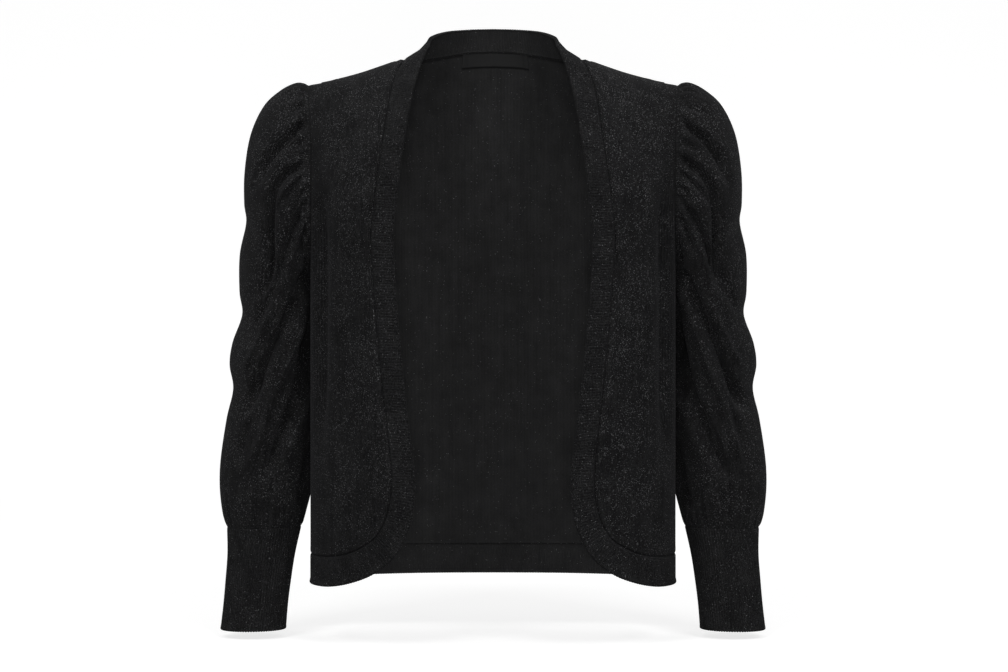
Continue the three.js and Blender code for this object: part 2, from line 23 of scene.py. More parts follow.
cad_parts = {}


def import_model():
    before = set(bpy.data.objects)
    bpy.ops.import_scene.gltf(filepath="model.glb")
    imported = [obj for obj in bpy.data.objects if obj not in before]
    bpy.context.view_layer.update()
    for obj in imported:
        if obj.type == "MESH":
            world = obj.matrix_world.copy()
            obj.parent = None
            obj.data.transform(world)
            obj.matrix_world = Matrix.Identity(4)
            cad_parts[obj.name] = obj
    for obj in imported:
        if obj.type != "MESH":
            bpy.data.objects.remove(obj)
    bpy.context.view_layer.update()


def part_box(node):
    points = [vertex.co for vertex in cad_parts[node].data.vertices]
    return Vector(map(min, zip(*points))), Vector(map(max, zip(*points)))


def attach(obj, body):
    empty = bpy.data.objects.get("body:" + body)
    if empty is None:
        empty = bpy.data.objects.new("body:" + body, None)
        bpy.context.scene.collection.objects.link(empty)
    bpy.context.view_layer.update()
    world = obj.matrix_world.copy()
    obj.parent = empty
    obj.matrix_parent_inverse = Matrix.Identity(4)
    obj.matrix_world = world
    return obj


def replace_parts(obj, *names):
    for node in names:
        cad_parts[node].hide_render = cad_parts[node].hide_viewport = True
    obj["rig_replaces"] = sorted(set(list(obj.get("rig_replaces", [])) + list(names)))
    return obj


log = logging.getLogger("cardigan")

Array = np.ndarray
Surface = Callable[[Array, Array], Array]

MM = 0.001
ROOT = "root"
QUARTER = math.pi / 2
UV_NAME = "knit"
SEAM_GAP = 0.1
WELD = 1e-6
TINY = 1e-6
SMALLEST = 1e-12
FAR = 1e9
HALVINGS = 40
CROWD_CLEAR = 1.2
CENTRE_CLEAR = 0.02
DENSE_ROWS = 1500
SLOPE_STEP = 1e-3


class Side(Enum):
    """A side of the wearer, with the sign of its X."""

    LEFT = 1
    RIGHT = -1

    @property
    def word(self) -> str:
        """The side's name as it stands at the end of a piece's name."""
        return self.name.lower()


class Face(Enum):
    """The front or the back of the body, with the sign of its Y and its column of the tables."""

    FRONT = -1
    BACK = 1

    @property
    def column(self) -> str:
        """The face's column in the body's table."""
        return self.name.lower()


# ---- Tables of the worn form -----------------------------------------------------------------------


class TorsoRow(NamedTuple):
    """Depth of the body in front of and behind the side line, at a height."""

    z: float
    front: float
    back: float


class ShoulderRow(NamedTuple):
    """Height of the shoulder line at a distance from the middle."""

    x: float
    z: float


class LinePoint(NamedTuple):
    """A point of a fold's line: distance from the middle, and height."""

    x: float
    z: float


class BandRow(NamedTuple):
    """The band's seam and free edge in the front view, and how far the edge leans behind its seam."""

    seam_x: float
    seam_z: float
    edge_x: float
    edge_z: float
    lean: float


class SectionRow(NamedTuple):
    """A section of a sleeve: its two ends in the front view, its depths and its middle in Y."""

    outer_x: float
    outer_z: float
    inner_x: float
    inner_z: float
    front: float
    back: float
    mid_y: float


TORSO = (
    TorsoRow(-520, 113, 97),
    TorsoRow(-400, 116, 94),
    TorsoRow(-300, 122, 95),
    TorsoRow(-215, 126, 98),
    TorsoRow(-119, 121, 97),
    TorsoRow(-60, 112, 92),
    TorsoRow(0, 98, 84),
    TorsoRow(60, 88, 78),
)
SHOULDER = (
    ShoulderRow(0, 100),
    ShoulderRow(27, 86.5),
    ShoulderRow(52, 57.6),
    ShoulderRow(74, 24.7),
    ShoulderRow(83, 9.5),
    ShoulderRow(88, 1.7),
    ShoulderRow(94, 0.2),
    ShoulderRow(109, -5),
    ShoulderRow(133, -13),
    ShoulderRow(160, -20),
    ShoulderRow(184, -24.5),
    ShoulderRow(230, -30),
)
FRONT_BAND = (
    BandRow(182, -490.5, 182, -520.5, 0),
    BandRow(161, -489.5, 159, -519.3, 0),
    BandRow(144, -486.3, 136.5, -514, -1),
    BandRow(128.5, -479.5, 115, -504.5, -2),
    BandRow(113.5, -468.5, 94.5, -487.5, -3),
    BandRow(103.2, -450.5, 80, -460, -3),
    BandRow(98, -428, 75.3, -431.5, -3),
    BandRow(97.6, -404, 75, -404, -3),
    BandRow(101, -370, 79.3, -371.5, -3),
    BandRow(107.6, -310, 86, -311, -3),
    BandRow(113.4, -246, 91.7, -247, -3),
    BandRow(117.3, -181, 95.4, -182, -3),
    BandRow(113.5, -140, 91.8, -140, -4),
    BandRow(107, -90, 85.6, -88, -5),
    BandRow(101.6, -43.5, 78.5, -40, -6),
    BandRow(97, -20, 72.5, -13, -5),
    BandRow(88, 1.7, 64.5, 16, -4),
)
NECK_BAND = (
    FRONT_BAND[-1],
    BandRow(80, 4.2, 62, 27, -9),
    BandRow(56, 10.2, 48.5, 35, -10.5),
    BandRow(28, 16.2, 25.2, 38.8, -9),
    BandRow(0, 18, 0, 40, -8.5),
)
SLEEVE = (
    SectionRow(184, -24.5, 182, -215, 48, 56, 0),
    SectionRow(196, -22, 182.6, -217, 55, 60, 2),
    SectionRow(212.3, -29, 182.5, -220, 58, 62, 5),
    SectionRow(229.5, -44.5, 182.4, -225, 60, 63, 8),
    SectionRow(243, -72.5, 182.3, -231, 62, 64, 12),
    SectionRow(249.4, -108.5, 182.3, -239, 63, 64, 16),
    SectionRow(250.3, -140.5, 182.3, -248, 63, 63, 20),
    SectionRow(248.5, -160.5, 182.3, -256, 62, 62, 22),
    SectionRow(255.4, -192.5, 182.2, -272, 61, 62, 26),
    SectionRow(256, -229.5, 182, -292, 60, 61, 29),
    SectionRow(253.5, -253, 182, -306, 58, 59, 31),
    SectionRow(263.3, -281, 182, -325, 58, 59, 32),
    SectionRow(266.5, -303.5, 182, -340, 57, 58, 33),
    SectionRow(263, -328, 182, -357, 55, 56, 34),
    SectionRow(269.6, -358, 182, -378, 54, 55, 34),
    SectionRow(275.6, -398.5, 182.5, -408, 51, 52, 33),
    SectionRow(276.4, -427, 184, -430, 47, 47, 31),
    SectionRow(273, -453, 189.5, -452, 40, 40, 27),
    SectionRow(268, -468, 194, -467, 35, 35, 24),
)
CUFF = (
    SLEEVE[-1],
    SectionRow(267.5, -494, 200, -494, 33, 33, 23),
    SectionRow(269.3, -520, 204, -520, 32, 32, 22),
    SectionRow(271.3, -544, 207, -544, 31, 31, 21),
    SectionRow(274.2, -570, 209, -569.5, 31, 31, 20),
)


@dataclass(frozen=True)
class BodySizes:
    """Sizes of the worn form that stand outside the tables, in millimetres.

    The plan of the body is a rounded oblong: `roundness` is its power, 2 for an ellipse. The
    shares give the underarm's height on a panel and the neck seam's part of the back's top.
    """

    half: float = 182
    roundness: float = 2.4
    shoulder_drop: float = 150
    hem_seam_z: float = -490.5
    hem_z: float = -520.5
    tip_x: float = 184
    tip_z: float = -24.5
    tip_clear: float = 1
    under_x: float = 182
    under_z: float = -215
    hole_front: float = 48
    hole_back: float = 56
    hole_slant: float = 4
    corner_row: int = 4
    below_arm: float = 9 / 21
    neck_share: float = 0.5
    neck_crowding: float = 1.5


SIZES = BodySizes()


# ---- Curves through the tables ----------------------------------------------------------------------


def smooth(rows: Sequence[NamedTuple], out: str, place: Array, by: str | None = None) -> Array:
    """Reads a smooth curve through the rows of a table.

    Args:
        rows: The table.
        out: The column whose value is read.
        place: Where it is read, in the column `by`, or as row numbers from 0 without it.
        by: The column that the places are given in.

    Returns:
        The value at every place.
    """
    value = np.array([getattr(row, out) for row in rows], float)
    at = np.array([getattr(row, by) for row in rows], float) if by else np.arange(len(rows), dtype=float)
    last = len(rows) - 1
    place = np.clip(np.asarray(place, float), at[0], at[-1])
    before = np.maximum(np.arange(last + 1) - 1, 0)
    after = np.minimum(np.arange(last + 1) + 1, last)
    slope = (value[after] - value[before]) / (at[after] - at[before])
    i = np.minimum(np.searchsorted(at[1:], place, side="left"), last - 1)
    span = at[i + 1] - at[i]
    t = (place - at[i]) / span
    t2, t3 = t * t, t * t * t
    return (
        (2 * t3 - 3 * t2 + 1) * value[i]
        + (t3 - 2 * t2 + t) * span * slope[i]
        + (3 * t2 - 2 * t3) * value[i + 1]
        + (t3 - t2) * span * slope[i + 1]
    )


def blend(low: Array | float, high: Array | float, share: Array | float) -> Array:
    """Gives a value between two others, at a share of the way from the first."""
    return low + (np.asarray(high) - low) * share


def ease(low: float, high: float, value: Array) -> Array:
    """Rises softly from 0 at `low` to 1 at `high`, and stays there."""
    t = np.clip((value - low) / (high - low), 0, 1)
    return t * t * (3 - 2 * t)


def unit(vectors: Array) -> Array:
    """Gives the same directions, each 1 long."""
    return vectors / np.maximum(np.linalg.norm(vectors, axis=-1, keepdims=True), SMALLEST)


def stations(
    count: int, length: float, crowd: Sequence[float] = (0.45, 0.9, 1.5, 2.4, 3.7, 5.4)
) -> Array:
    """Shares of a length for the lines of a grid, with more lines close to both of its seams.

    Args:
        count: Even steps over the length.
        length: The length in millimetres.
        crowd: Distances from each end at which an extra line lies.

    Returns:
        The shares in order, from half a seam's gap inside one end to the same inside the other.
    """
    even = np.linspace(0, 1, count + 1)
    near = np.array([SEAM_GAP / 2, *crowd]) / length
    clear = near[-1] * CROWD_CLEAR
    inner = even[(even > clear) & (even < 1 - clear)]
    return np.concatenate([near, inner, 1 - near[::-1]])


# ---- The worn form ----------------------------------------------------------------------------------


def depth_at(face: Face, x: Array, z: Array) -> Array:
    """Gives the depth of the body from the side line.

    Args:
        face: The front or the back.
        x: Distance of every place from the middle.
        z: Height of every place.

    Returns:
        The depth at every place, 0 on the shoulder line.
    """
    drop = smooth(SHOULDER, "z", x, "x") - z
    left = 1 - np.clip(drop / SIZES.shoulder_drop, 0, 1)
    return smooth(TORSO, face.column, z, "z") * np.sqrt(1 - left * left)


def armhole_point(angle: Array) -> Array:
    """Gives points of the armhole seam.

    Args:
        angle: Their angles from the shoulder tip, over the front if above 0.

    Returns:
        The points, on the wearer's left.
    """
    c, s = np.cos(angle), np.sin(angle)
    depth = np.where(s > 0, SIZES.hole_front, SIZES.hole_back)
    x = blend(SIZES.under_x, SIZES.tip_x, (c + 1) / 2) - SIZES.hole_slant * s * s
    return np.stack([x, -depth * s, blend(SIZES.under_z, SIZES.tip_z, (c + 1) / 2)], -1)


def half_width(face: Face, z: Array) -> Array:
    """Gives half the width of the form's plan, so that the form passes through the armhole.

    Args:
        face: The front or the back.
        z: The heights.

    Returns:
        The half width at every height.
    """
    z = np.asarray(z, float)
    height = np.clip(z, SIZES.under_z, SIZES.tip_z - SIZES.tip_clear)
    share = (height - SIZES.under_z) / (SIZES.tip_z - SIZES.under_z)
    p = armhole_point(-face.value * np.arccos(2 * share - 1))
    ratio = np.clip(np.abs(p[..., 1]) / depth_at(face, p[..., 0], height), 0, 1)
    other = (1 - ratio**SIZES.roundness) ** (1 / SIZES.roundness)
    return np.where(z <= SIZES.under_z, SIZES.half, p[..., 0] / np.maximum(other, TINY))


def angle_at(face: Face, x: Array, z: Array) -> Array:
    """Gives the angle round the plan of places: 0 in the middle, a quarter turn at the side."""
    share = np.clip(x / half_width(face, z), 0, 1)
    return np.arcsin(share ** (SIZES.roundness / 2))


def form_point(face: Face, angle: Array, z: Array) -> Array:
    """Gives points of the body on the wearer's left.

    Args:
        face: The front or the back.
        angle: Angle of every point round the plan.
        z: Height of every point.

    Returns:
        The points.
    """
    x = half_width(face, z) * np.sin(angle) ** (2 / SIZES.roundness)
    depth = depth_at(face, x, z) * np.maximum(np.cos(angle), 0) ** (2 / SIZES.roundness)
    return np.stack([x, face.value * depth, z + 0 * x], -1)


def band_seam(face: Face, row: Array) -> tuple[Array, Array]:
    """Gives the band's seam.

    Args:
        face: The front's band or the back neck's.
        row: Places along the band, as rows of its table.

    Returns:
        The angle and the height on the body at every place.
    """
    table = FRONT_BAND if face is Face.FRONT else NECK_BAND
    z = smooth(table, "seam_z", row)
    return angle_at(face, smooth(table, "seam_x", row), z), z


def band_point(face: Face, row: Array, share: Array) -> Array:
    """Gives points of the band on the wearer's left.

    Args:
        face: The front's band or the back neck's.
        row: Places along the band, as rows of its table.
        share: Shares of the way from the seam to the free edge.

    Returns:
        The points.
    """
    table = FRONT_BAND if face is Face.FRONT else NECK_BAND
    seam = form_point(face, *band_seam(face, row))
    edge_x, edge_z = smooth(table, "edge_x", row), smooth(table, "edge_z", row)
    edge = np.stack([edge_x, seam[..., 1] + smooth(table, "lean", row), edge_z], -1)
    return blend(seam, edge, np.asarray(share)[..., None])


def mirrored(points: Array, sign: Array) -> Array:
    """Moves points of the wearer's left to the right where `sign` is below 0."""
    return points * np.stack([np.where(sign < 0, -1.0, 1.0), 1 + 0 * sign, 1 + 0 * sign], -1)


def row_at_height(z: Array) -> Array:
    """Finds where the front band's seam passes a height above its corner.

    Args:
        z: The heights.

    Returns:
        The row of the band's table for every height, found by halving.
    """
    low = np.full(np.shape(z), float(SIZES.corner_row))
    high = np.full(np.shape(z), float(len(FRONT_BAND) - 1))
    for _ in range(HALVINGS):
        middle = (low + high) / 2
        below = smooth(FRONT_BAND, "seam_z", middle) < z
        low, high = np.where(below, middle, low), np.where(below, high, middle)
    return high


def section_point(table: Sequence[SectionRow], row: Array, angle: Array) -> Array:
    """Gives points of a left sleeve or cuff.

    Args:
        table: The sections of the sleeve or of the cuff.
        row: The row of every point.
        angle: Its angle from the section's outer end, over the front first.

    Returns:
        The points.
    """
    c, s = np.cos(angle), np.sin(angle)
    slant = SIZES.hole_slant * np.maximum(1 - row, 0) ** 2 if table is SLEEVE else 0
    depth = np.where(s > 0, smooth(table, "front", row), smooth(table, "back", row))
    share = (c + 1) / 2
    x = blend(smooth(table, "inner_x", row), smooth(table, "outer_x", row), share) - slant * s * s
    z = blend(smooth(table, "inner_z", row), smooth(table, "outer_z", row), share)
    return np.stack([x, smooth(table, "mid_y", row) - s * depth, z], -1)


class PanelBorders:
    """The four borders of a body panel, as angle and height on the form, and the patch they hold."""

    def __init__(self, face: Face) -> None:
        """Takes the face whose borders these are."""
        self.face = face

    @staticmethod
    def step(v: Array) -> tuple[Array, Array]:
        """Tells the armhole's stretch of the outer border from the side seam's.

        Args:
            v: Shares up the panel.

        Returns:
            Whether each share is at the armhole, and its share of its own stretch.
        """
        arm = v > SIZES.below_arm
        return arm, np.where(arm, (v - SIZES.below_arm) / (1 - SIZES.below_arm), v / SIZES.below_arm)

    def height(self, bottom: float, top: float, v: Array) -> Array:
        """Gives heights up the panel: even below the underarm, then as round the armhole.

        Args:
            bottom: Height of the border's lower end.
            top: Height of its upper end.
            v: Shares up the panel.

        Returns:
            The height at every share.
        """
        arm, share = self.step(v)
        rising = blend(SIZES.under_z, top, (1 - np.cos(math.pi * share)) / 2)
        return np.where(arm, rising, blend(bottom, SIZES.under_z, share))

    def outer(self, v: Array) -> Array:
        """Gives the side seam, then the armhole.

        Args:
            v: Shares up the panel.

        Returns:
            Angle and height on the form at every share.
        """
        arm, share = self.step(v)
        z = self.height(SIZES.hem_seam_z, SIZES.tip_z, v)
        hole = armhole_point(-self.face.value * math.pi * (1 - share))
        return np.stack([np.where(arm, angle_at(self.face, hole[..., 0], z), QUARTER), z])

    def inner(self, v: Array) -> Array:
        """Gives the band's seam on a front, and the middle on the back.

        Args:
            v: Shares up the panel.

        Returns:
            Angle and height on the form at every share.
        """
        if self.face is Face.BACK:
            z = self.height(SIZES.hem_seam_z, NECK_BAND[-1].seam_z, v)
            return np.stack([0 * z, z])
        z = self.height(FRONT_BAND[SIZES.corner_row].seam_z, NECK_BAND[0].seam_z, v)
        return np.stack(band_seam(self.face, row_at_height(z)))

    def bottom(self, u: Array) -> Array:
        """Gives the seam of the hem.

        Args:
            u: Shares across the panel.

        Returns:
            Angle and height on the form at every share.
        """
        if self.face is Face.BACK:
            return np.stack([u * QUARTER, SIZES.hem_seam_z + 0 * u])
        return np.stack(band_seam(self.face, SIZES.corner_row * (1 - u)))

    def top(self, u: Array) -> Array:
        """Gives the shoulder seam, after the neck seam on the back.

        Args:
            u: Shares across the panel.

        Returns:
            Angle and height on the form at every share.
        """
        start = SIZES.neck_share if self.face is Face.BACK else 0.0
        x = blend(NECK_BAND[0].seam_x, SIZES.tip_x, np.clip((u - start) / (1 - start), 0, 1))
        z = smooth(SHOULDER, "z", x, "x")
        shoulder = np.stack([angle_at(self.face, x, z), z])
        if self.face is Face.FRONT:
            return shoulder
        crowded = np.clip((start - u) / start, 0, 1) ** SIZES.neck_crowding
        neck = np.stack(band_seam(self.face, (len(NECK_BAND) - 1) * crowded))
        return np.where(u <= start, neck, shoulder)

    def place(self, u: Array, v: Array) -> tuple[Array, Array]:
        """Fills the panel between its borders.

        Args:
            u: Shares across the panel, in a grid.
            v: Shares up the panel, in a grid.

        Returns:
            The angles and the heights on the form, in the same grid.
        """
        zero, one = np.zeros(1), np.ones(1)
        low = blend(self.inner(zero), self.outer(zero), u.ravel())
        high = blend(self.inner(one), self.outer(one), u.ravel())
        corners = blend(low, high, v.ravel())
        rows = blend(self.bottom(u.ravel()), self.top(u.ravel()), v.ravel())
        columns = blend(self.inner(v.ravel()), self.outer(v.ravel()), u.ravel())
        angle, z = (rows + columns - corners).reshape(2, *u.shape)
        return angle, z

    def points(self, across: Array, up: Array) -> Array:
        """Gives the left half of the panel.

        Args:
            across: Shares across the panel of the grid's columns.
            up: Shares up the panel of its rows.

        Returns:
            The grid of points.
        """
        u, v = np.meshgrid(across, up)
        angle, z = self.place(u, v)
        return form_point(self.face, np.clip(angle, 0, QUARTER), z)


# ---- Folds ------------------------------------------------------------------------------------------


class Fold(NamedTuple):
    """A trough seen from the front: its line, its widths above and below, and its depth.

    The line is points of distance from the middle and height. A depth below 0 is a ridge, and
    `hold` is the share of the line over which the fold keeps its depth before it dies away.
    """

    line: tuple[tuple[float, float], ...]
    above: float
    below: float
    depth: float
    hold: float = 0.45


@dataclass(frozen=True)
class FoldShape:
    """How every fold is rounded: its bottom, its slopes, and the share over which it starts."""

    bottom: float = 1.5
    power: float = 1.8
    start: float = 0.16


def line_samples(line: Sequence[tuple[float, float]], per_leg: int = 7) -> Array:
    """Gives closely spaced points on a smooth curve through a fold's line.

    Args:
        line: The fold's line.
        per_leg: Steps between two points of the line.

    Returns:
        The points, as distances from the middle and heights.
    """
    rows = [LinePoint(*point) for point in line]
    count = len(rows) - 1
    t = np.linspace(0, count, count * per_leg + 1)
    return np.stack([smooth(rows, "x", t), smooth(rows, "z", t)], -1)


def fold_depth(folds: Sequence[Fold], x: Array, z: Array, shape: FoldShape = FoldShape()) -> Array:
    """How far the folds draw the cloth in at places of the front view.

    Args:
        folds: The folds.
        x: Distance of every place from the middle.
        z: Height of every place.
        shape: The rounding of the folds.

    Returns:
        The depth at every place, below 0 where a ridge stands out.
    """
    total = np.zeros(x.shape)
    for fold in folds:
        line = line_samples(fold.line)
        nearest = np.full(x.shape, FAR)
        along = np.zeros(x.shape)
        over = np.zeros(x.shape)
        for k in range(len(line) - 1):
            leg = line[k + 1] - line[k]
            dx, dz = x - line[k][0], z - line[k][1]
            t = np.clip((dx * leg[0] + dz * leg[1]) / (leg @ leg), 0, 1)
            gap = np.hypot(dx - t * leg[0], dz - t * leg[1])
            closer = gap < nearest
            nearest = np.where(closer, gap, nearest)
            along = np.where(closer, (k + t) / (len(line) - 1), along)
            over = np.where(closer, leg[0] * dz - leg[1] * dx, over)
        width = np.where(over > 0, fold.above, fold.below)
        near = (np.sqrt(nearest**2 + shape.bottom**2) - shape.bottom) / width
        wave = np.clip(1 - near, 0, 1) ** shape.power
        fade = ease(-shape.start, shape.start, along) * (1 - ease(fold.hold, 1.0, along))
        total += fold.depth * wave * fade
    return total


LEFT_SLEEVE_FOLDS = (
    Fold(((190, -45), (201, -50), (212, -57)), 4, 6, 5.0, 0.5),
    Fold(((183, -63), (194, -69), (204, -76), (213, -84), (220, -93), (227, -104), (230, -115),
          (234, -131)), 6, 8, 14.0, 0.65),
    Fold(((185, -83), (194, -89), (203, -95)), 4, 6, 5.0, 0.45),
    Fold(((184, -100), (193, -107), (203, -114), (211, -123), (217, -135), (220, -151),
          (221, -171), (222, -190), (223, -208), (228, -228), (234, -245)), 6, 9, 12.5, 0.8),
    Fold(((184, -116), (194, -123), (203, -131), (212, -142), (218, -150)), 4, 7, 8.0, 0.55),
    Fold(((184, -130), (190, -137), (196, -147)), 4, 5, 4.5, 0.45),
    Fold(((182, -142), (189, -149), (195, -158), (200, -168), (206, -179), (211, -192),
          (216, -206), (221, -220), (227, -234), (233, -247)), 5, 6, 9.5, 0.55),
    Fold(((183, -158), (187, -168), (191, -177), (196, -189), (201, -200)), 4, 4, 7.5, 0.6),
    Fold(((181, -180), (183, -192), (186, -206), (190, -219), (195, -231)), 5, 6, 7.5, 0.7),
    Fold(((189, -216), (195, -231), (201, -243), (208, -257), (215, -272), (222, -287),
          (230, -305), (239, -324), (248, -342), (253, -352)), 6, 9, 13.0, 0.8),
    Fold(((178, -243), (181, -267), (185, -289), (189, -310), (194, -330), (203, -350),
          (212, -368), (220, -387), (228, -405), (234, -421)), 8, 13, 14.0, 0.8),
    Fold(((181, -374), (185, -395), (189, -417), (194, -439), (200, -452)), 6, 8, 5.5, 0.75),
    Fold(((192, -242), (201, -269), (211, -299), (223, -330), (233, -360), (242, -387),
          (249, -415)), 6, 5, -4.4, 0.8),
    Fold(((211, -240), (223, -263), (235, -287), (249, -310)), 6, 5, -3.8, 0.75),
    Fold(((228, -212), (235, -232), (243, -253)), 4, 6, 5.0, 0.6),
    Fold(((226, -102), (237, -118), (240, -127)), 4, 4, -1.5, 0.5),
    Fold(((186, -336), (193, -358), (202, -383), (213, -409)), 11, 14, -3.6, 0.7),
    Fold(((241, -357), (248, -377), (253, -405)), 5, 7, 3.5, 0.6),
    Fold(((220, -418), (225, -437), (227, -451)), 5, 5, 2.2, 0.5),
    Fold(((185, -202), (190, -230), (194, -257)), 9, 12, -6.0, 0.6),
)
RIGHT_SLEEVE_FOLDS = (
    Fold(((183, -42), (193, -50), (202, -57)), 4, 6, 5.0, 0.5),
    Fold(((182, -65), (191, -69), (199, -76), (209, -85), (218, -94), (224, -102), (229, -111),
          (232, -122), (236, -135)), 6, 8, 14.0, 0.65),
    Fold(((184, -84), (194, -89), (203, -95)), 4, 6, 5.0, 0.45),
    Fold(((184, -107), (193, -111), (202, -115), (210, -123), (216, -133), (219, -146),
          (220, -163), (221, -180), (221, -198), (222, -216), (227, -232),
          (232, -245)), 6, 9, 12.5, 0.8),
    Fold(((183, -119), (190, -123), (197, -131), (204, -140), (210, -149),
          (215, -158)), 4, 7, 7.0, 0.55),
    Fold(((183, -134), (190, -142), (196, -151)), 4, 5, 4.0, 0.45),
    Fold(((181, -144), (185, -149), (189, -156), (193, -165), (198, -176), (202, -187),
          (206, -202), (211, -216), (219, -230), (228, -244)), 5, 6, 9.5, 0.55),
    Fold(((183, -171), (186, -178), (188, -188), (191, -198), (195, -210)), 4, 4, 7.5, 0.6),
    Fold(((180, -184), (182, -194), (185, -207), (188, -220), (192, -232)), 5, 6, 7.5, 0.7),
    Fold(((188, -216), (192, -230), (197, -244), (203, -257), (209, -269), (217, -284),
          (224, -299), (232, -318), (241, -340), (249, -363)), 6, 9, 13.0, 0.8),
    Fold(((178, -245), (181, -269), (185, -289), (188, -308), (192, -328), (199, -348),
          (208, -368), (216, -387), (224, -405), (231, -422)), 8, 13, 14.0, 0.8),
    Fold(((180, -375), (184, -397), (188, -417), (192, -437), (196, -454)), 6, 8, 5.5, 0.75),
    Fold(((185, -242), (191, -269), (200, -291), (208, -310), (217, -332), (225, -356),
          (231, -377), (240, -399), (248, -417)), 6, 5, -4.4, 0.8),
    Fold(((214, -244), (223, -260), (232, -280), (241, -298), (249, -312)), 6, 5, -3.8, 0.75),
    Fold(((215, -228), (225, -245), (235, -265)), 4, 6, 5.0, 0.6),
    Fold(((229, -102), (238, -122), (241, -130)), 4, 4, -1.5, 0.5),
    Fold(((186, -338), (194, -363), (204, -387), (215, -412)), 11, 14, -3.6, 0.7),
    Fold(((241, -359), (248, -377), (253, -407)), 5, 7, 3.5, 0.6),
    Fold(((218, -420), (222, -438), (222, -452)), 5, 5, 2.2, 0.5),
    Fold(((185, -202), (190, -230), (194, -257)), 9, 12, -6.0, 0.6),
)
FRONT_FOLDS = {
    Side.LEFT: (
        Fold(((169, -126), (169, -190), (170, -260), (170, -340), (169, -430)), 8, 14, 8.5, 0.7),
        Fold(((140, -205), (142, -300), (138, -390), (134, -455)), 14, 14, 1.5, 0.6),
        Fold(((121, -215), (118, -300), (112, -390)), 6, 6, -0.8, 0.7),
        Fold(((176, -150), (158, -168), (140, -176)), 9, 9, 1.4),
        Fold(((172, -66), (152, -92), (130, -128)), 10, 10, 1.2),
    ),
    Side.RIGHT: (
        Fold(((169, -146), (169, -200), (169, -260), (170, -330), (169, -430)), 8, 14, 8.5, 0.7),
        Fold(((141, -200), (139, -290), (142, -380), (136, -450)), 14, 14, 1.5, 0.6),
        Fold(((122, -205), (117, -290), (113, -380)), 6, 6, -0.8, 0.7),
        Fold(((176, -146), (160, -162), (144, -168)), 9, 9, 1.4),
        Fold(((170, -60), (150, -84), (126, -120)), 10, 10, 1.2),
    ),
}
BACK_FOLDS = (
    Fold(((-166, -90), (-150, -180), (-141, -300), (-146, -420), (-142, -470)), 15, 15, 4.0, 0.7),
    Fold(((-96, -150), (-88, -260), (-92, -380), (-86, -480)), 18, 18, 3.0, 0.75),
    Fold(((-40, -190), (-34, -300), (-38, -420), (-30, -480)), 16, 16, 2.2, 0.75),
    Fold(((34, -170), (40, -290), (34, -400), (38, -480)), 16, 16, 2.4, 0.75),
    Fold(((92, -140), (96, -250), (88, -370), (93, -480)), 18, 18, 3.0, 0.75),
    Fold(((168, -95), (151, -190), (143, -310), (149, -430), (145, -475)), 15, 15, 3.8, 0.7),
    Fold(((-172, -70), (-140, -84), (-104, -84)), 10, 12, 1.6),
    Fold(((172, -66), (142, -82), (108, -80)), 10, 12, 1.6),
)


def grid_normals(points: Array, round_grid: bool, centre: Array) -> Array:
    """Directions out of the cloth at the points of a grid.

    Args:
        points: The grid, in rows. A round grid repeats its first column as its last.
        round_grid: Whether its columns close into a tube.
        centre: A point inside the garment's piece, for every point or for all of them.

    Returns:
        A direction 1 long at every point, away from the centre on the whole.
    """
    wide = np.concatenate([points[:, -2:-1], points, points[:, 1:2]], 1) if round_grid else points
    across, up = np.gradient(wide, axis=1), np.gradient(wide, axis=0)
    normal = unit(np.cross(across, up))
    normal = normal[:, 1:-1] if round_grid else normal
    return normal * np.sign(np.sum(normal * (points - centre)))


def distance_along(points: Array, axis: int) -> Array:
    """Measures along the lines of a grid.

    Args:
        points: The grid.
        axis: 0 to measure from its first row, 1 from its first column.

    Returns:
        The distance at every point.
    """
    steps = np.linalg.norm(np.diff(points, axis=axis), axis=-1)
    zero = np.zeros_like(np.take(steps, [0], axis=axis))
    return np.cumsum(np.concatenate([zero, steps], axis), axis)


def seam_mask(distance: Array, reach: float) -> Array:
    """Rises from 0 on both end seams of a run of cloth to 1 further than `reach` from them."""
    whole = np.max(distance, axis=0, keepdims=True)
    return ease(0, reach, distance) * ease(0, reach, whole - distance)


# ---- Meshes -----------------------------------------------------------------------------------------


@dataclass
class Grid:
    """A grid of points that becomes one piece, in millimetres, with the places of its stitches.

    `centre` gives the point inside the garment that a face turns away from, and `inner_row` the
    row from which the cloth's inner face begins, which has the second finish: the same yarn painted
    lighter, as painted light on the inside.
    """

    points: Array
    uv: Array
    closed_round: bool = False
    closed_along: bool = False
    centre: Callable[[Vector], Vector] | None = None
    inner_row: int | None = None


def ring_axis(here: Vector) -> Vector:
    """Gives the point of the body's upright axis that is level with a place."""
    return Vector((0, 0, here.z))


def link_smooth(mesh: bpy.types.Mesh) -> bpy.types.Object:
    """Links a smooth-shaded object of the mesh's name to the scene, at the origin.

    Args:
        mesh: The finished mesh.

    Returns:
        The object.
    """
    mesh.polygons.foreach_set("use_smooth", np.ones(len(mesh.polygons), dtype=bool))
    piece = bpy.data.objects.new(mesh.name, mesh)
    bpy.context.collection.objects.link(piece)
    return piece


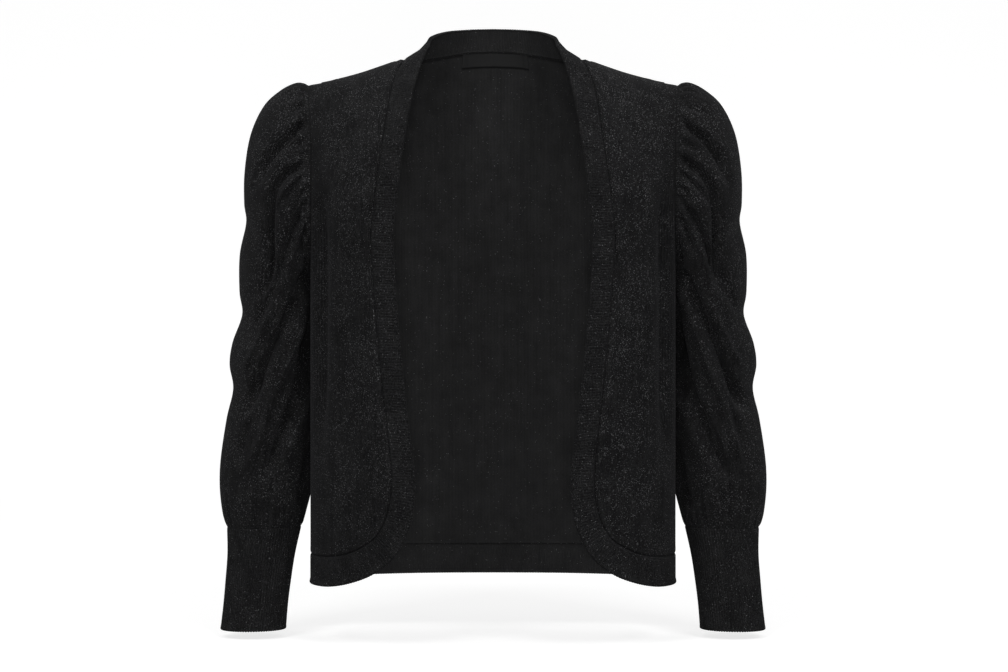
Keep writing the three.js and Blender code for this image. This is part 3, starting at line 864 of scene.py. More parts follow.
def mesh_object(name: str, grid: Grid, side: Side = Side.LEFT) -> bpy.types.Object:
    """Makes a piece of cloth from a grid of points.

    Args:
        name: The piece's name.
        grid: Its points on the wearer's left, or on both sides for a piece over the middle.
        side: The side that the piece is on. The right one is mirrored.

    Returns:
        The piece's object, linked to the scene, at the origin.
    """
    rows, columns = grid.points.shape[:2]
    bm = bmesh.new()
    bmesh.ops.create_grid(bm, x_segments=columns - 1, y_segments=rows - 1, size=1.0)
    mesh = bpy.data.meshes.new(name)
    bm.to_mesh(mesh)
    bm.free()
    flat = np.empty(len(mesh.vertices) * 3)
    mesh.vertices.foreach_get("co", flat)
    place = flat.reshape(-1, 3)
    j = np.rint((place[:, 0] + 1) / 2 * (columns - 1)).astype(int)
    i = np.rint((place[:, 1] + 1) / 2 * (rows - 1)).astype(int)
    scale = np.array([side.value, 1, 1]) * MM
    mesh.vertices.foreach_set("co", (grid.points[i, j] * scale).ravel())
    layer = mesh.uv_layers.new(name=UV_NAME)
    corner = np.empty(len(mesh.loops), dtype=np.int32)
    mesh.loops.foreach_get("vertex_index", corner)
    layer.data.foreach_set("uv", (grid.uv[i, j] * MM)[corner].ravel())
    if grid.inner_row is not None:
        inner = i[corner].reshape(-1, 4).min(1) >= grid.inner_row
        mesh.polygons.foreach_set("material_index", inner.astype(np.int32))
    bm = bmesh.new()
    bm.from_mesh(mesh)
    if grid.closed_round or grid.closed_along:
        bmesh.ops.remove_doubles(bm, verts=bm.verts, dist=WELD)
    open_edges = [edge for edge in bm.edges if edge.is_boundary]
    if grid.closed_along and open_edges:
        bmesh.ops.holes_fill(bm, edges=open_edges, sides=0)
    bmesh.ops.recalc_face_normals(bm, faces=bm.faces)
    turn_outwards(bm, grid.centre)
    bm.to_mesh(mesh)
    bm.free()
    return link_smooth(mesh)


def turn_outwards(bm: bmesh.types.BMesh, centre: Callable[[Vector], Vector] | None) -> None:
    """Turns a mesh round if its faces point to its centre on the whole.

    Args:
        bm: The mesh.
        centre: Gives the centre for a place on it. Without it, the centre is the corners' mean.
    """
    middle = sum((v.co for v in bm.verts), Vector()) / len(bm.verts)
    total = 0.0
    for face in bm.faces:
        here = face.calc_center_median()
        inside = centre(here) if centre else middle
        total += face.calc_area() * face.normal.dot(here - inside)
    if total < 0:
        bmesh.ops.reverse_faces(bm, faces=bm.faces)


def thicken(piece: bpy.types.Object, wall: float, inside: int = 0) -> None:
    """Gives a sheet its wall, inwards from the surface it has.

    Args:
        piece: The sheet.
        wall: The wall's thickness.
        inside: How many material slots after the outer face's own the inner face's finish is.
    """
    shell = piece.modifiers.new("wall", "SOLIDIFY")
    shell.thickness = wall * MM
    shell.offset = -1.0
    shell.use_even_offset = False
    shell.material_offset = inside


@dataclass(frozen=True)
class RibShape:
    """The vertical ribs of a doubled 1 by 1 rib, in millimetres.

    The cloth drops by `seam_drop` into the seam and carries a bead beside its free edge. The
    grid's lines lie at `near_seam`, evenly over the plain part, and at the bead and the edge.
    """

    pitch: float = 2.7
    height: float = 0.42
    points: int = 6
    wall: float = 2.2
    seam_drop: float = 2.3
    edge_bead: float = 0.9
    flatness: float = 0.7
    level: float = 0.5
    drop_width: float = 0.95
    inner_drop: float = 0.2
    bead_place: float = 1.6
    bead_width: float = 1.3
    near_seam: tuple[float, ...] = (0.45, 0.9, 1.5, 2.3)
    plain_start: float = 3.2
    plain_end: float = 4.0
    bead_line: float = 2.6
    turn_points: int = 7

    def stand(self, distance: Array) -> Array:
        """Gives how far the rib stands out at a distance along the row of ribs."""
        wave = np.abs(np.cos(math.pi * distance / self.pitch)) ** self.flatness
        return self.height * (wave - self.level)

    def profile(self, width: float, steps: int) -> tuple[Array, Array, Array, Array]:
        """The doubled cloth's outline from the seam round the free edge and back.

        Args:
            width: Width from seam to free edge.
            steps: Steps across one face.

        Returns:
            Shares across, depths under the outer face, and the two parts of the outline's
            outward direction: towards the free edge and out of the cloth.
        """
        r = self.wall / 2
        reach = np.concatenate(
            [
                [SEAM_GAP / 2, *self.near_seam],
                np.linspace(self.plain_start, width - self.plain_end, steps + 1),
                [width - self.bead_line, width - r],
            ]
        )
        sunk = self.seam_drop * np.exp(-((reach / self.drop_width) ** 2))
        from_bead = (width - reach - self.bead_place) / self.bead_width
        bead = self.edge_bead * np.exp(-(from_bead**2))
        turn = np.linspace(0, math.pi, self.turn_points)[1:-1]
        share = np.concatenate([reach, width - r + r * np.sin(turn), reach[::-1], reach[:1]]) / width
        inner = self.wall + self.inner_drop * sunk[::-1]
        depth = np.concatenate([sunk - bead, r - (r + bead[-1]) * np.cos(turn), inner, sunk[:1]])
        flat = 0 * reach
        to_edge = np.concatenate([flat, np.sin(turn), flat, [0.0]])
        out = np.concatenate([flat + 1, np.cos(turn), flat - 1, [1.0]])
        return share, depth, to_edge, out


def even_rows(surface: Surface, low: float, high: float, rib: RibShape) -> tuple[Array, Array]:
    """Rows of a run of ribs, spaced evenly along it, a whole number of ribs long.

    Args:
        surface: Gives points from rows and shares across.
        low: The first row.
        high: The last row.
        rib: The rib.

    Returns:
        The rows, and the distance along the run at each.
    """
    dense = np.linspace(low, high, DENSE_ROWS)
    middle = surface(dense, np.full(dense.shape, 0.5))
    length = distance_along(middle[None], 1)[0]
    ribs = max(round(length[-1] / rib.pitch), 1)
    even = np.linspace(0, length[-1], ribs * rib.points + 1)
    return np.interp(even, length, dense), even * ribs * rib.pitch / length[-1]


def rib_grid(
    surface: Surface,
    rows: Array,
    distance: Array,
    width: float,
    steps: int,
    rib: RibShape,
    centre: Callable[[Array], Array],
    round_run: bool = False,
) -> Grid:
    """The closed grid of a doubled rib: its outline, carried along the run with its ribs.

    Args:
        surface: Gives points of the outer face from rows and shares across.
        rows: Rows along the run.
        distance: Distance along the run at each row.
        width: Width from seam to free edge.
        steps: Steps across one face.
        rib: The rib.
        centre: Gives a point inside the garment for points of the outer face.
        round_run: Whether the run closes on itself, as a cuff does.

    Returns:
        The grid, closed round its outline.
    """
    share, depth, to_edge, out = rib.profile(width, steps)
    s, t = np.meshgrid(rows, share)
    points = surface(s, t)
    across = unit(surface(s, t + SLOPE_STEP) - surface(s, t - SLOPE_STEP))
    along = unit(surface(s + SLOPE_STEP, t) - surface(s - SLOPE_STEP, t))
    normal = unit(np.cross(across, along))
    normal *= np.sign(np.sum(normal * (points - centre(points))))
    stand = rib.stand(distance)[None, :, None]
    points = points - normal * depth[:, None, None]
    points = points + stand * (across * to_edge[:, None, None] + normal * out[:, None, None])
    run = distance_along(np.stack([share * width, depth], -1)[None], 1)[0]
    uv = np.stack(np.meshgrid(distance, run), -1)
    inner = int(np.argmax(out < 0))
    return Grid(points, uv, closed_round=round_run, closed_along=True, inner_row=inner)


# ---- Shaders ----------------------------------------------------------------------------------------

MIX_FIRST, MIX_SECOND, MIX_RESULT = 6, 7, 2


class Shader:
    """A material's node tree, with one method that adds any node."""

    def __init__(self, name: str) -> None:
        """Starts an empty material.

        Args:
            name: The material's name.
        """
        self.material = bpy.data.materials.new(name)
        self.material.use_nodes = True
        self.tree = self.material.node_tree
        self.tree.nodes.clear()

    def node(
        self,
        kind: str,
        settings: Mapping[str, object] | None = None,
        inputs: Mapping[str | int, object] | None = None,
    ) -> bpy.types.Node:
        """Adds a node.

        Args:
            kind: The node's type.
            settings: What is set on the node itself before its sockets.
            inputs: A value, socket or signal for each named or numbered socket.

        Returns:
            The node.
        """
        node = self.tree.nodes.new(kind)
        for key, value in (settings or {}).items():
            setattr(node, key, value)
        for key, value in (inputs or {}).items():
            source = value.socket if isinstance(value, Signal) else value
            if isinstance(source, bpy.types.NodeSocket):
                self.tree.links.new(source, node.inputs[key])
            else:
                node.inputs[key].default_value = source
        return node

    def signal(self, node: bpy.types.Node, output: str | int = 0) -> Signal:
        """Wraps an output of a node as a number to calculate with."""
        return Signal(self, node.outputs[output])

    def vector(self, operation: str, inputs: Mapping[str | int, object]) -> bpy.types.NodeSocket:
        """Adds a Vector Math node and returns its vector socket."""
        return self.node("ShaderNodeVectorMath", {"operation": operation}, inputs).outputs[0]

    def noise(self, where: bpy.types.NodeSocket, scale: float, detail: float = 2.0) -> Signal:
        """Adds a Noise node that reads `where` and returns its value, about 0.5 on the whole."""
        inputs = {"Vector": where, "Scale": scale, "Detail": detail}
        return self.signal(self.node("ShaderNodeTexNoise", inputs=inputs))

    def bump(self, strength: float, distance: float, height: Signal) -> bpy.types.NodeSocket:
        """Adds a Bump node, its distance in metres, and returns its normal."""
        inputs = {"Strength": strength, "Distance": distance, "Height": height}
        return self.node("ShaderNodeBump", inputs=inputs).outputs[0]

    def object_place(self) -> bpy.types.NodeSocket:
        """Gives the place on the piece, in metres."""
        return self.node("ShaderNodeTexCoord").outputs["Object"]

    def mix_colour(self, share: object, low: object, high: object) -> bpy.types.NodeSocket:
        """Adds a colour Mix node.

        Args:
            share: The share of the second colour.
            low: The first colour, as three numbers or a socket.
            high: The second, in the same way.

        Returns:
            Its colour socket.
        """
        low, high = (
            colour if isinstance(colour, bpy.types.NodeSocket) else (*colour, 1.0) for colour in (low, high)
        )
        inputs = {"Factor": share, MIX_FIRST: low, MIX_SECOND: high}
        return self.node("ShaderNodeMix", {"data_type": "RGBA"}, inputs).outputs[MIX_RESULT]

    def stitches(self) -> tuple[Signal, Signal]:
        """Reads the place in the knit from the piece's UV map.

        Returns:
            The distances across and along the wales, in metres.
        """
        place = self.node("ShaderNodeUVMap", {"uv_map": UV_NAME})
        parts = self.node("ShaderNodeSeparateXYZ", inputs={0: place.outputs["UV"]})
        return self.signal(parts, "X"), self.signal(parts, "Y")

    def finish(self, inputs: Mapping[str | int, object]) -> bpy.types.Material:
        """Adds the surface and links it to the material's output.

        Args:
            inputs: A value, socket or signal for each named socket of the Principled node.

        Returns:
            The finished material.
        """
        surface = self.node("ShaderNodeBsdfPrincipled", inputs=inputs)
        output = self.node("ShaderNodeOutputMaterial")
        self.tree.links.new(surface.outputs[0], output.inputs["Surface"])
        return self.material


@dataclass(frozen=True)
class Signal:
    """A number that varies over a surface. Sums and products with it add Math nodes."""

    shader: Shader
    socket: bpy.types.NodeSocket

    def maths(self, operation: str, *others: object, first: object = None) -> Signal:
        """Adds a Math node.

        Args:
            operation: What it does.
            others: Its other values.
            first: A value that comes before this signal, which is then the last.

        Returns:
            The result.
        """
        values = [self, *others] if first is None else [first, self]
        node = self.shader.node("ShaderNodeMath", {"operation": operation}, dict(enumerate(values)))
        return self.shader.signal(node)

    def __add__(self, other: object) -> Signal:
        """This plus another."""
        return self.maths("ADD", other)

    def __radd__(self, other: object) -> Signal:
        """Another plus this."""
        return self.maths("ADD", first=other)

    def __sub__(self, other: object) -> Signal:
        """This less another."""
        return self.maths("SUBTRACT", other)

    def __rsub__(self, other: object) -> Signal:
        """Another less this."""
        return self.maths("SUBTRACT", first=other)

    def __mul__(self, other: object) -> Signal:
        """This times another."""
        return self.maths("MULTIPLY", other)

    def __rmul__(self, other: object) -> Signal:
        """Another times this."""
        return self.maths("MULTIPLY", first=other)

    def __gt__(self, other: object) -> Signal:
        """1 where this is above another, else 0."""
        return self.maths("GREATER_THAN", other)

    def __lt__(self, other: object) -> Signal:
        """1 where this is below another, else 0."""
        return self.maths("LESS_THAN", other)

    def limited(self) -> Signal:
        """This, held between 0 and 1."""
        return self.maths("MAXIMUM", 0.0).maths("MINIMUM", 1.0)


@dataclass(frozen=True)
class Fleck:
    """The metallic thread that glints here and there in the yarn.

    There are `cells` to the metre, of which at most `share` glint, in patches. A glint fills its
    cell out to `reach` and turns its normal by up to `tilt`.
    """

    cells: float = 1250.0
    share: float = 0.27
    reach: float = 0.45
    colour: tuple[float, float, float] = (0.24, 0.24, 0.25)
    roughness: float = 0.4
    tilt: float = 0.9
    patch_scale: float = 38.0
    patch_contrast: float = 3.5
    patch_level: float = 0.75


@dataclass(frozen=True)
class YarnFinish:
    """Dark matt yarn with a metallic fleck, as plain knit or as rib.

    The tone between `shade` and `colour` comes from broad clouds, streaks along the wales, the
    grain of the yarn and painted shade by the height of the stitch, darker in its hollows. `wale`
    and `course` are a stitch's width and height in metres. A scale is the number of a noise's cells in a
    metre.
    """

    name: str
    colour: tuple[float, float, float]
    shade: tuple[float, float, float]
    wale: float
    course: float
    bump: float
    streak: float
    grain: float = 1.8
    roughness: float = 0.82
    sheen: float = 0.05
    sheen_roughness: float = 0.5
    sheen_tint: tuple[float, float, float] = (0.55, 0.55, 0.58)
    specular: float = 0.05
    fleck: Fleck = Fleck()
    leg_slant: float = 0.5
    leg_level: float = 0.72
    loop_height: float = 0.28
    cloud_scale: float = 55.0
    cloud_detail: float = 3.0
    cloud: float = 0.5
    streak_scales: tuple[float, float] = (210.0, 16.0)
    grain_scale: float = 900.0
    stitch_tone: float = 0.45
    bump_distance: float = 0.5 * MM
    bump_grain: float = 0.5
    bump_streak: float = 0.6

    def material(self) -> bpy.types.Material:
        """Builds the finish's material.

        Returns:
            The material, with its stitches from the UV map and its flecks from Object coordinates.
        """
        sh = Shader(self.name)
        across, along = sh.stitches()
        column = (across * (1 / self.wale)).maths("FRACT")
        leg = (column - 0.5).maths("ABSOLUTE") * 2.0
        loop = ((along * (1 / self.course) + leg * self.leg_slant) * math.tau).maths("SINE")
        height = (1.0 - leg * leg) * (self.leg_level + loop * self.loop_height)
        where = sh.object_place()
        clouds = sh.noise(where, self.cloud_scale, self.cloud_detail)
        wide, long = self.streak_scales
        stretched = sh.node("ShaderNodeCombineXYZ", inputs={"X": across * wide, "Y": along * long})
        streaks = sh.noise(stretched.outputs[0], 1.0)
        grain = sh.noise(where, self.grain_scale)
        uneven = (clouds - 0.5) * self.cloud + (streaks - 0.5) * self.streak + (grain - 0.5) * self.grain
        # Painted shade: the colour darkens where the stitch is low, in the hollows between its loops and
        # wales.
        tone = uneven + height * self.stitch_tone
        yarn = sh.mix_colour(tone.limited(), self.shade, self.colour)
        mask, tilt = self.glints(sh, where)
        relief = height + grain * self.bump_grain + streaks * self.bump_streak
        bump = sh.bump(self.bump, self.bump_distance, relief)
        normal = sh.vector("NORMALIZE", {0: sh.vector("ADD", {0: bump, 1: tilt})})
        return sh.finish(
            {
                "Base Color": sh.mix_colour(mask, yarn, self.fleck.colour),
                "Metallic": mask,
                "Roughness": self.roughness - mask * (self.roughness - self.fleck.roughness),
                "Specular IOR Level": self.specular,
                "Sheen Weight": self.sheen,
                "Sheen Roughness": self.sheen_roughness,
                "Sheen Tint": (*self.sheen_tint, 1.0),
                "Normal": normal,
            }
        )

    def glints(self, sh: Shader, where: bpy.types.NodeSocket) -> tuple[Signal, bpy.types.NodeSocket]:
        """Scatters the glints of the metallic thread.

        Args:
            sh: The material's shader.
            where: The place on the piece.

        Returns:
            How much of a glint each place is, and how its normal is turned there.
        """
        fleck = self.fleck
        cell = sh.node("ShaderNodeTexVoronoi", {"feature": "F1"}, {"Vector": where, "Scale": fleck.cells})
        chance = sh.node("ShaderNodeSeparateColor", inputs={0: cell.outputs["Color"]})
        patch = sh.noise(where, fleck.patch_scale)
        patch = ((patch - 0.5) * fleck.patch_contrast + fleck.patch_level).limited()
        lit = sh.signal(chance, "Red") < (patch * fleck.share)
        bright = sh.signal(chance, "Green")
        mask = lit * (sh.signal(cell, "Distance") < fleck.reach) * bright * bright
        turned = sh.vector("SUBTRACT", {0: cell.outputs["Color"], 1: (0.5, 0.5, 0.5)})
        return mask, sh.vector("SCALE", {0: turned, "Scale": mask * fleck.tilt})


@dataclass(frozen=True)
class LabelFinish:
    """Plain woven tape: a fine twill of dark threads, with nothing on it."""

    name: str = "woven_label"
    colour: tuple[float, float, float] = (0.019, 0.019, 0.0194)
    shade: tuple[float, float, float] = (0.015, 0.015, 0.0153)
    thread: float = 0.45 * MM
    twill: float = 0.5
    wear_scale: float = 160.0
    wear: float = 0.4
    roughness: float = 0.45
    rougher: float = 0.2
    specular: float = 0.12
    sheen: float = 0.02
    bump: float = 0.35
    bump_distance: float = 0.2 * MM

    def material(self) -> bpy.types.Material:
        """Builds the tape's material.

        Returns:
            The material, with its threads from the UV map.
        """
        sh = Shader(self.name)
        across, along = sh.stitches()
        warp = (across * (math.tau / self.thread)).maths("SINE")
        weft = ((along + across * self.twill) * (math.tau / self.thread)).maths("SINE")
        weave = warp * 0.25 + weft * 0.25 + 0.5
        worn = sh.noise(sh.object_place(), self.wear_scale)
        # Painted shade: the tape is darker where the weave is low, between its threads; the worn noise is
        # tone at random.
        tone = (weave * (1 - self.wear) + worn * self.wear).limited()
        return sh.finish(
            {
                "Base Color": sh.mix_colour(tone, self.shade, self.colour),
                "Roughness": self.roughness + worn * self.rougher,
                "Specular IOR Level": self.specular,
                "Sheen Weight": self.sheen,
                "Normal": sh.bump(self.bump, self.bump_distance, weave),
            }
        )


@dataclass(frozen=True)
class ThreadFinish:
    """Sewing thread of the seams: a little smoother and darker than the yarn."""

    name: str = "seam_thread"
    colour: tuple[float, float, float] = (0.0075, 0.0075, 0.0078)
    twist_scale: float = 2400.0
    roughness: float = 0.5
    rougher: float = 0.2
    specular: float = 0.1
    bump: float = 0.3
    bump_distance: float = 0.1 * MM

    def material(self) -> bpy.types.Material:
        """Builds the thread's material.

        Returns:
            The material, with its twist from Object coordinates.
        """
        sh = Shader(self.name)
        twist = sh.noise(sh.object_place(), self.twist_scale)
        return sh.finish(
            {
                "Base Color": (*self.colour, 1.0),
                "Roughness": self.roughness + twist * self.rougher,
                "Specular IOR Level": self.specular,
                "Normal": sh.bump(self.bump, self.bump_distance, twist),
            }
        )


@dataclass(frozen=True)
class BackdropFinish:
    """Smooth pale paper of the floor and the sweep behind, which glows a little."""

    name: str = "pale_paper"
    colour: tuple[float, float, float] = (0.45, 0.45, 0.45)
    roughness: float = 0.95
    glow: float = 0.76

    def material(self) -> bpy.types.Material:
        """Builds the paper's material.

        Returns:
            The material.
        """
        return Shader(self.name).finish(
            {
                "Base Color": (*self.colour, 1.0),
                "Roughness": self.roughness,
                "Specular IOR Level": 0.0,
                "Emission Color": (1.0, 1.0, 1.0, 1.0),
                "Emission Strength": self.glow,
            }
        )


class Finishes:
    """The materials of the garment, each made once."""

    def __init__(self) -> None:
        """Builds the garment's materials."""
        deep = (0.0035, 0.0035, 0.0037)
        # The inner faces are the same yarn painted much lighter than the outer faces, with fewer flecks:
        # painted light that stands in for light reaching the inside.
        inner = {"colour": (0.045, 0.045, 0.046), "shade": (0.014, 0.014, 0.0143)}
        plain = {"wale": 1.5 * MM, "course": 1.15 * MM}
        ribbed = {"wale": 1.35 * MM, "course": 1.1 * MM}
        few = Fleck(share=0.03)
        self.knit = YarnFinish(
            "knit_yarn", (0.0275, 0.0275, 0.0283), deep, **plain, bump=0.55, streak=0.45
        ).material()
        self.inside = YarnFinish(
            "knit_inside", **inner, **plain, bump=0.4, streak=0.3, grain=0.5, fleck=few
        ).material()
        self.rib = YarnFinish(
            "rib_yarn", (0.035, 0.035, 0.036), deep, **ribbed, bump=0.4, streak=0.2, fleck=Fleck(share=0.1)
        ).material()
        self.lining = YarnFinish(
            "rib_inside", **inner, **ribbed, bump=0.4, streak=0.2, grain=1.0, fleck=few
        ).material()
        self.label = LabelFinish().material()
        self.thread = ThreadFinish().material()


# ---- Pieces -----------------------------------------------------------------------------------------


class Hold(Enum):
    """How a sheet of the garment is held."""

    HUNG = "hung"
    GATHERED = "gathered"
    STRETCHED = "stretched"
    FOLDED = "folded"


@dataclass(frozen=True)
class Cut:
    """The flat size that a sheet was knitted to, in metres, and how it is held when worn."""

    width: float
    length: float
    hold: Hold
    area: float | None = None


def dress(
    piece: bpy.types.Object,
    material: bpy.types.Material,
    node: str | None = None,
    lining: bpy.types.Material | None = None,
) -> bpy.types.Object:
    """Gives a piece its material and tells the frame what it is.

    Args:
        piece: The piece.
        material: Its finish.
        node: The solid that the piece stands for.
        lining: The finish of its inner face, where that differs; the inner faces are painted lighter, as
            painted light on the inside.

    Returns:
        The piece.
    """
    piece.data.materials.append(material)
    if lining:
        piece.data.materials.append(lining)
    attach(piece, ROOT)
    if node:
        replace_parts(piece, node)
    return piece


class SeamPulls(NamedTuple):
    """How hard the seams round a panel pull: at its bottom and top, and its first and last column."""

    bottom: float
    top: float
    first: float
    last: float


@dataclass
class Body:
    """The plain knit back and the two fronts.

    Every seam pulls a groove into the cloth and leaves a low welt beside it. Folds die away over
    `front_free` and `back_free` beside the seams: first along the panel, then across it.
    """

    finishes: Finishes
    wall: float = 1.5
    groove: float = 2.3
    groove_width: float = 0.95
    welt: float = 0.5
    welt_place: float = 4.4
    welt_width: float = 1.9
    half_across: int = 74
    up: int = 150
    front_across: int = 62
    length: float = 500
    front_width: float = 85
    half_back_width: float = 210
    front_free: tuple[float, float] = (14, 7)
    back_free: tuple[float, float] = (20, 9)
    front_pulls: SeamPulls = SeamPulls(0.35, 0.3, 1.25, 0.15)
    back_pulls: SeamPulls = SeamPulls(0.8, 0.6, 0.15, 0.15)
    wale_spread: float = 1.08
    back_cut: Cut = Cut(0.457, 0.526, Hold.HUNG, 0.216)
    front_cut: Cut = Cut(0.145, 0.51, Hold.HUNG, 0.059)

    def build(self) -> list[bpy.types.Object]:
        """Makes the back and both fronts and returns them."""
        return [self.back(), *(self.front(side) for side in Side)]

    def grooved(self, points: Array, pulls: SeamPulls) -> Array:
        """Gives how far the cloth is drawn in beside the seams all round a panel.

        Args:
            points: The panel's grid.
            pulls: How hard its seams pull.

        Returns:
            The depth of the grooves, below 0 on the raised line beside each.
        """
        up, across = distance_along(points, 0), distance_along(points, 1)
        gaps = (up, up.max(0, keepdims=True) - up, across, across.max(1, keepdims=True) - across)
        drawn = np.zeros(up.shape)
        for gap, pull in zip(gaps, pulls):
            groove = self.groove * np.exp(-((gap / self.groove_width) ** 2))
            welt = self.welt * np.exp(-(((gap - self.welt_place) / self.welt_width) ** 2))
            drawn += pull * (groove - welt)
        return drawn

    def shaped(
        self, points: Array, folds: Sequence[Fold], free: tuple[float, float], pulls: SeamPulls
    ) -> Array:
        """Gives a panel its folds and its grooves.

        Args:
            points: The panel's smooth grid.
            folds: Its folds.
            free: How far from the seams the folds reach their depth, up and across the panel.
            pulls: How hard its seams pull.

        Returns:
            The grid of the finished cloth.
        """
        normal = grid_normals(points, False, points * [0, 0, 1])
        up, across = distance_along(points, 0), distance_along(points, 1)
        fading = seam_mask(up, free[0]) * seam_mask(across.T, free[1]).T
        drawn = fold_depth(folds, points[..., 0], points[..., 2]) * fading
        return points - normal * (drawn + self.grooved(points, pulls))[..., None]

    def front(self, side: Side) -> bpy.types.Object:
        """Makes one front.

        Args:
            side: The front's side of the wearer.

        Returns:
            The front.
        """
        across, up = stations(self.front_across, self.front_width), stations(self.up, self.length)
        points = PanelBorders(Face.FRONT).points(across, up)
        shaped = self.shaped(points, FRONT_FOLDS[side], self.front_free, self.front_pulls)
        uv = np.stack([points[..., 0] * self.wale_spread, distance_along(points, 0) - self.length], -1)
        grid = Grid(shaped, uv, centre=ring_axis)
        piece = mesh_object(f"front_knit_{side.word}", grid, side)
        thicken(piece, self.wall, 1)
        node = f"front_{side.word}"
        return dress(piece, self.finishes.knit, node, self.finishes.inside)

    def back(self) -> bpy.types.Object:
        """Makes the back, both halves in one piece.

        Returns:
            The back.
        """
        across = stations(self.half_across, self.half_back_width)
        across = np.concatenate([[0], across[across > CENTRE_CLEAR]])
        half = PanelBorders(Face.BACK).points(across, stations(self.up, self.length))
        points = np.concatenate([half[:, :0:-1] * [-1, 1, 1], half], 1)
        shaped = self.shaped(points, BACK_FOLDS, self.back_free, self.back_pulls)
        run = distance_along(points, 1)
        from_middle = run - run[:, half.shape[1] - 1 : half.shape[1]]
        uv = np.stack([from_middle, distance_along(points, 0)], -1)
        piece = mesh_object("back_knit", Grid(shaped, uv, centre=ring_axis))
        thicken(piece, self.wall, 1)
        return dress(piece, self.finishes.knit, "back", self.finishes.inside)


@dataclass(frozen=True)
class Gathers:
    """A row of small gathers round a seam.

    The cloth is flat within `flat` of the seam, is full at `full` and calms down over `reach`.
    `shift` moves the gathers round the seam, the other way on the other side of the wearer. They
    drift along the seam and swell by waves, each given as how often it repeats round the seam,
    its size, and its share of the shift.
    """

    count: int
    height: float
    reach: float
    full: float
    shift: float
    flat: float = 0.3
    drift: tuple[tuple[int, float, float], ...] = ((3, 1.6, 1.0), (7, 0.9, 2.1))
    swell: tuple[int, float, float] = (5, 0.25, 1.7)

    def depth(self, angle: Array, distance: Array, side: Side) -> Array:
        """Gives how far the gathers draw the cloth in.

        Args:
            angle: Angle of every place round the seam.
            distance: Its distance from the seam.
            side: The side of the wearer.

        Returns:
            The depth at every place, below 0 on the crests.
        """
        phase = self.shift * side.value
        uneven = sum(size * np.sin(times * angle + share * phase) for times, size, share in self.drift)
        times, size, share = self.swell
        wave = np.sin(self.count * angle + uneven)
        wave *= 1 - size + size * np.sin(times * angle + share * phase)
        return wave * (self.height * ease(self.flat, self.full, distance) * np.exp(-distance / self.reach))


@dataclass
class Sleeve:
    """A full sleeve, gathered into the armhole and above the cuff.

    Its back has the folds of the other sleeve's front, a little lower and not as deep. Folds
    fade over `top_free` and `foot_free` beside its ends, and over `inner_free` radians beside
    the body.
    """

    finishes: Finishes
    side: Side
    wall: float = 1.5
    groove: float = 0.25
    groove_width: float = 1.5
    around: int = 216
    per_row: int = 10
    length: float = 460
    round_length: float = 440
    near_seam: tuple[float, ...] = (0.6, 1.4, 2.4)
    head: Gathers = Gathers(count=43, height=1.5, reach=15.0, full=5, shift=0.4)
    foot: Gathers = Gathers(count=27, height=1.3, reach=26.0, full=6, shift=1.3)
    back_depth: float = 0.85
    back_shift: tuple[float, float] = (3, -9)
    front_blend: tuple[float, float] = (-0.6, -0.05)
    inner_free: float = 0.24
    top_free: float = 9
    foot_free: float = 16
    cut: Cut = Cut(0.36, 0.48, Hold.GATHERED, 0.14)

    def folds(self, points: Array, angle: Array) -> Array:
        """Gives how far the large folds draw the sleeve in, before they fade at its seams.

        Args:
            points: The sleeve's smooth grid.
            angle: Angle of every point round the sleeve.

        Returns:
            The depth at every point.
        """
        own, other = (LEFT_SLEEVE_FOLDS, RIGHT_SLEEVE_FOLDS)[:: self.side.value]
        x, z = points[..., 0], points[..., 2]
        seen = fold_depth(own, x, z)
        hidden = self.back_depth * fold_depth(other, x - self.back_shift[0], z - self.back_shift[1])
        return blend(hidden, seen, ease(*self.front_blend, np.sin(angle)))

    def grid(self) -> Grid:
        """Gives the sleeve's points on the wearer's left.

        Returns:
            The grid, with the sleeve's folds and gathers.
        """
        last = len(SLEEVE) - 1
        rows = stations(last * self.per_row, self.length, self.near_seam)
        angle, row = np.meshgrid(np.linspace(0, math.tau, self.around + 1), rows * last)
        points = section_point(SLEEVE, row, angle)
        normal = grid_normals(points, True, points[:, :-1].mean(1, keepdims=True))
        down = distance_along(points, 0)
        left = down.max(0, keepdims=True) - down
        inner_end = ease(0.0, self.inner_free, np.abs(angle - math.pi))
        free = ease(0, self.top_free, down) * ease(0, self.foot_free, left) * inner_end
        drawn = self.folds(points, angle) * free
        head = self.head.depth(angle, down, self.side)
        foot = self.foot.depth(angle, left, self.side)
        ends = np.exp(-((down / self.groove_width) ** 2)) + np.exp(-((left / self.groove_width) ** 2))
        shaped = points - normal * (drawn + head + foot + self.groove * ends)[..., None]
        along = -down.mean(1, keepdims=True) + 0 * angle
        uv = np.stack([angle / math.tau * self.round_length, along], -1)
        return Grid(shaped, uv, closed_round=True)

    def build(self) -> list[bpy.types.Object]:
        """Makes the sleeve.

        Returns:
            The sleeve alone, in a list.
        """
        piece = mesh_object(f"sleeve_knit_{self.side.word}", self.grid(), self.side)
        thicken(piece, self.wall, 1)
        node = f"sleeve_{self.side.word}"
        return [dress(piece, self.finishes.knit, node, self.finishes.inside)]


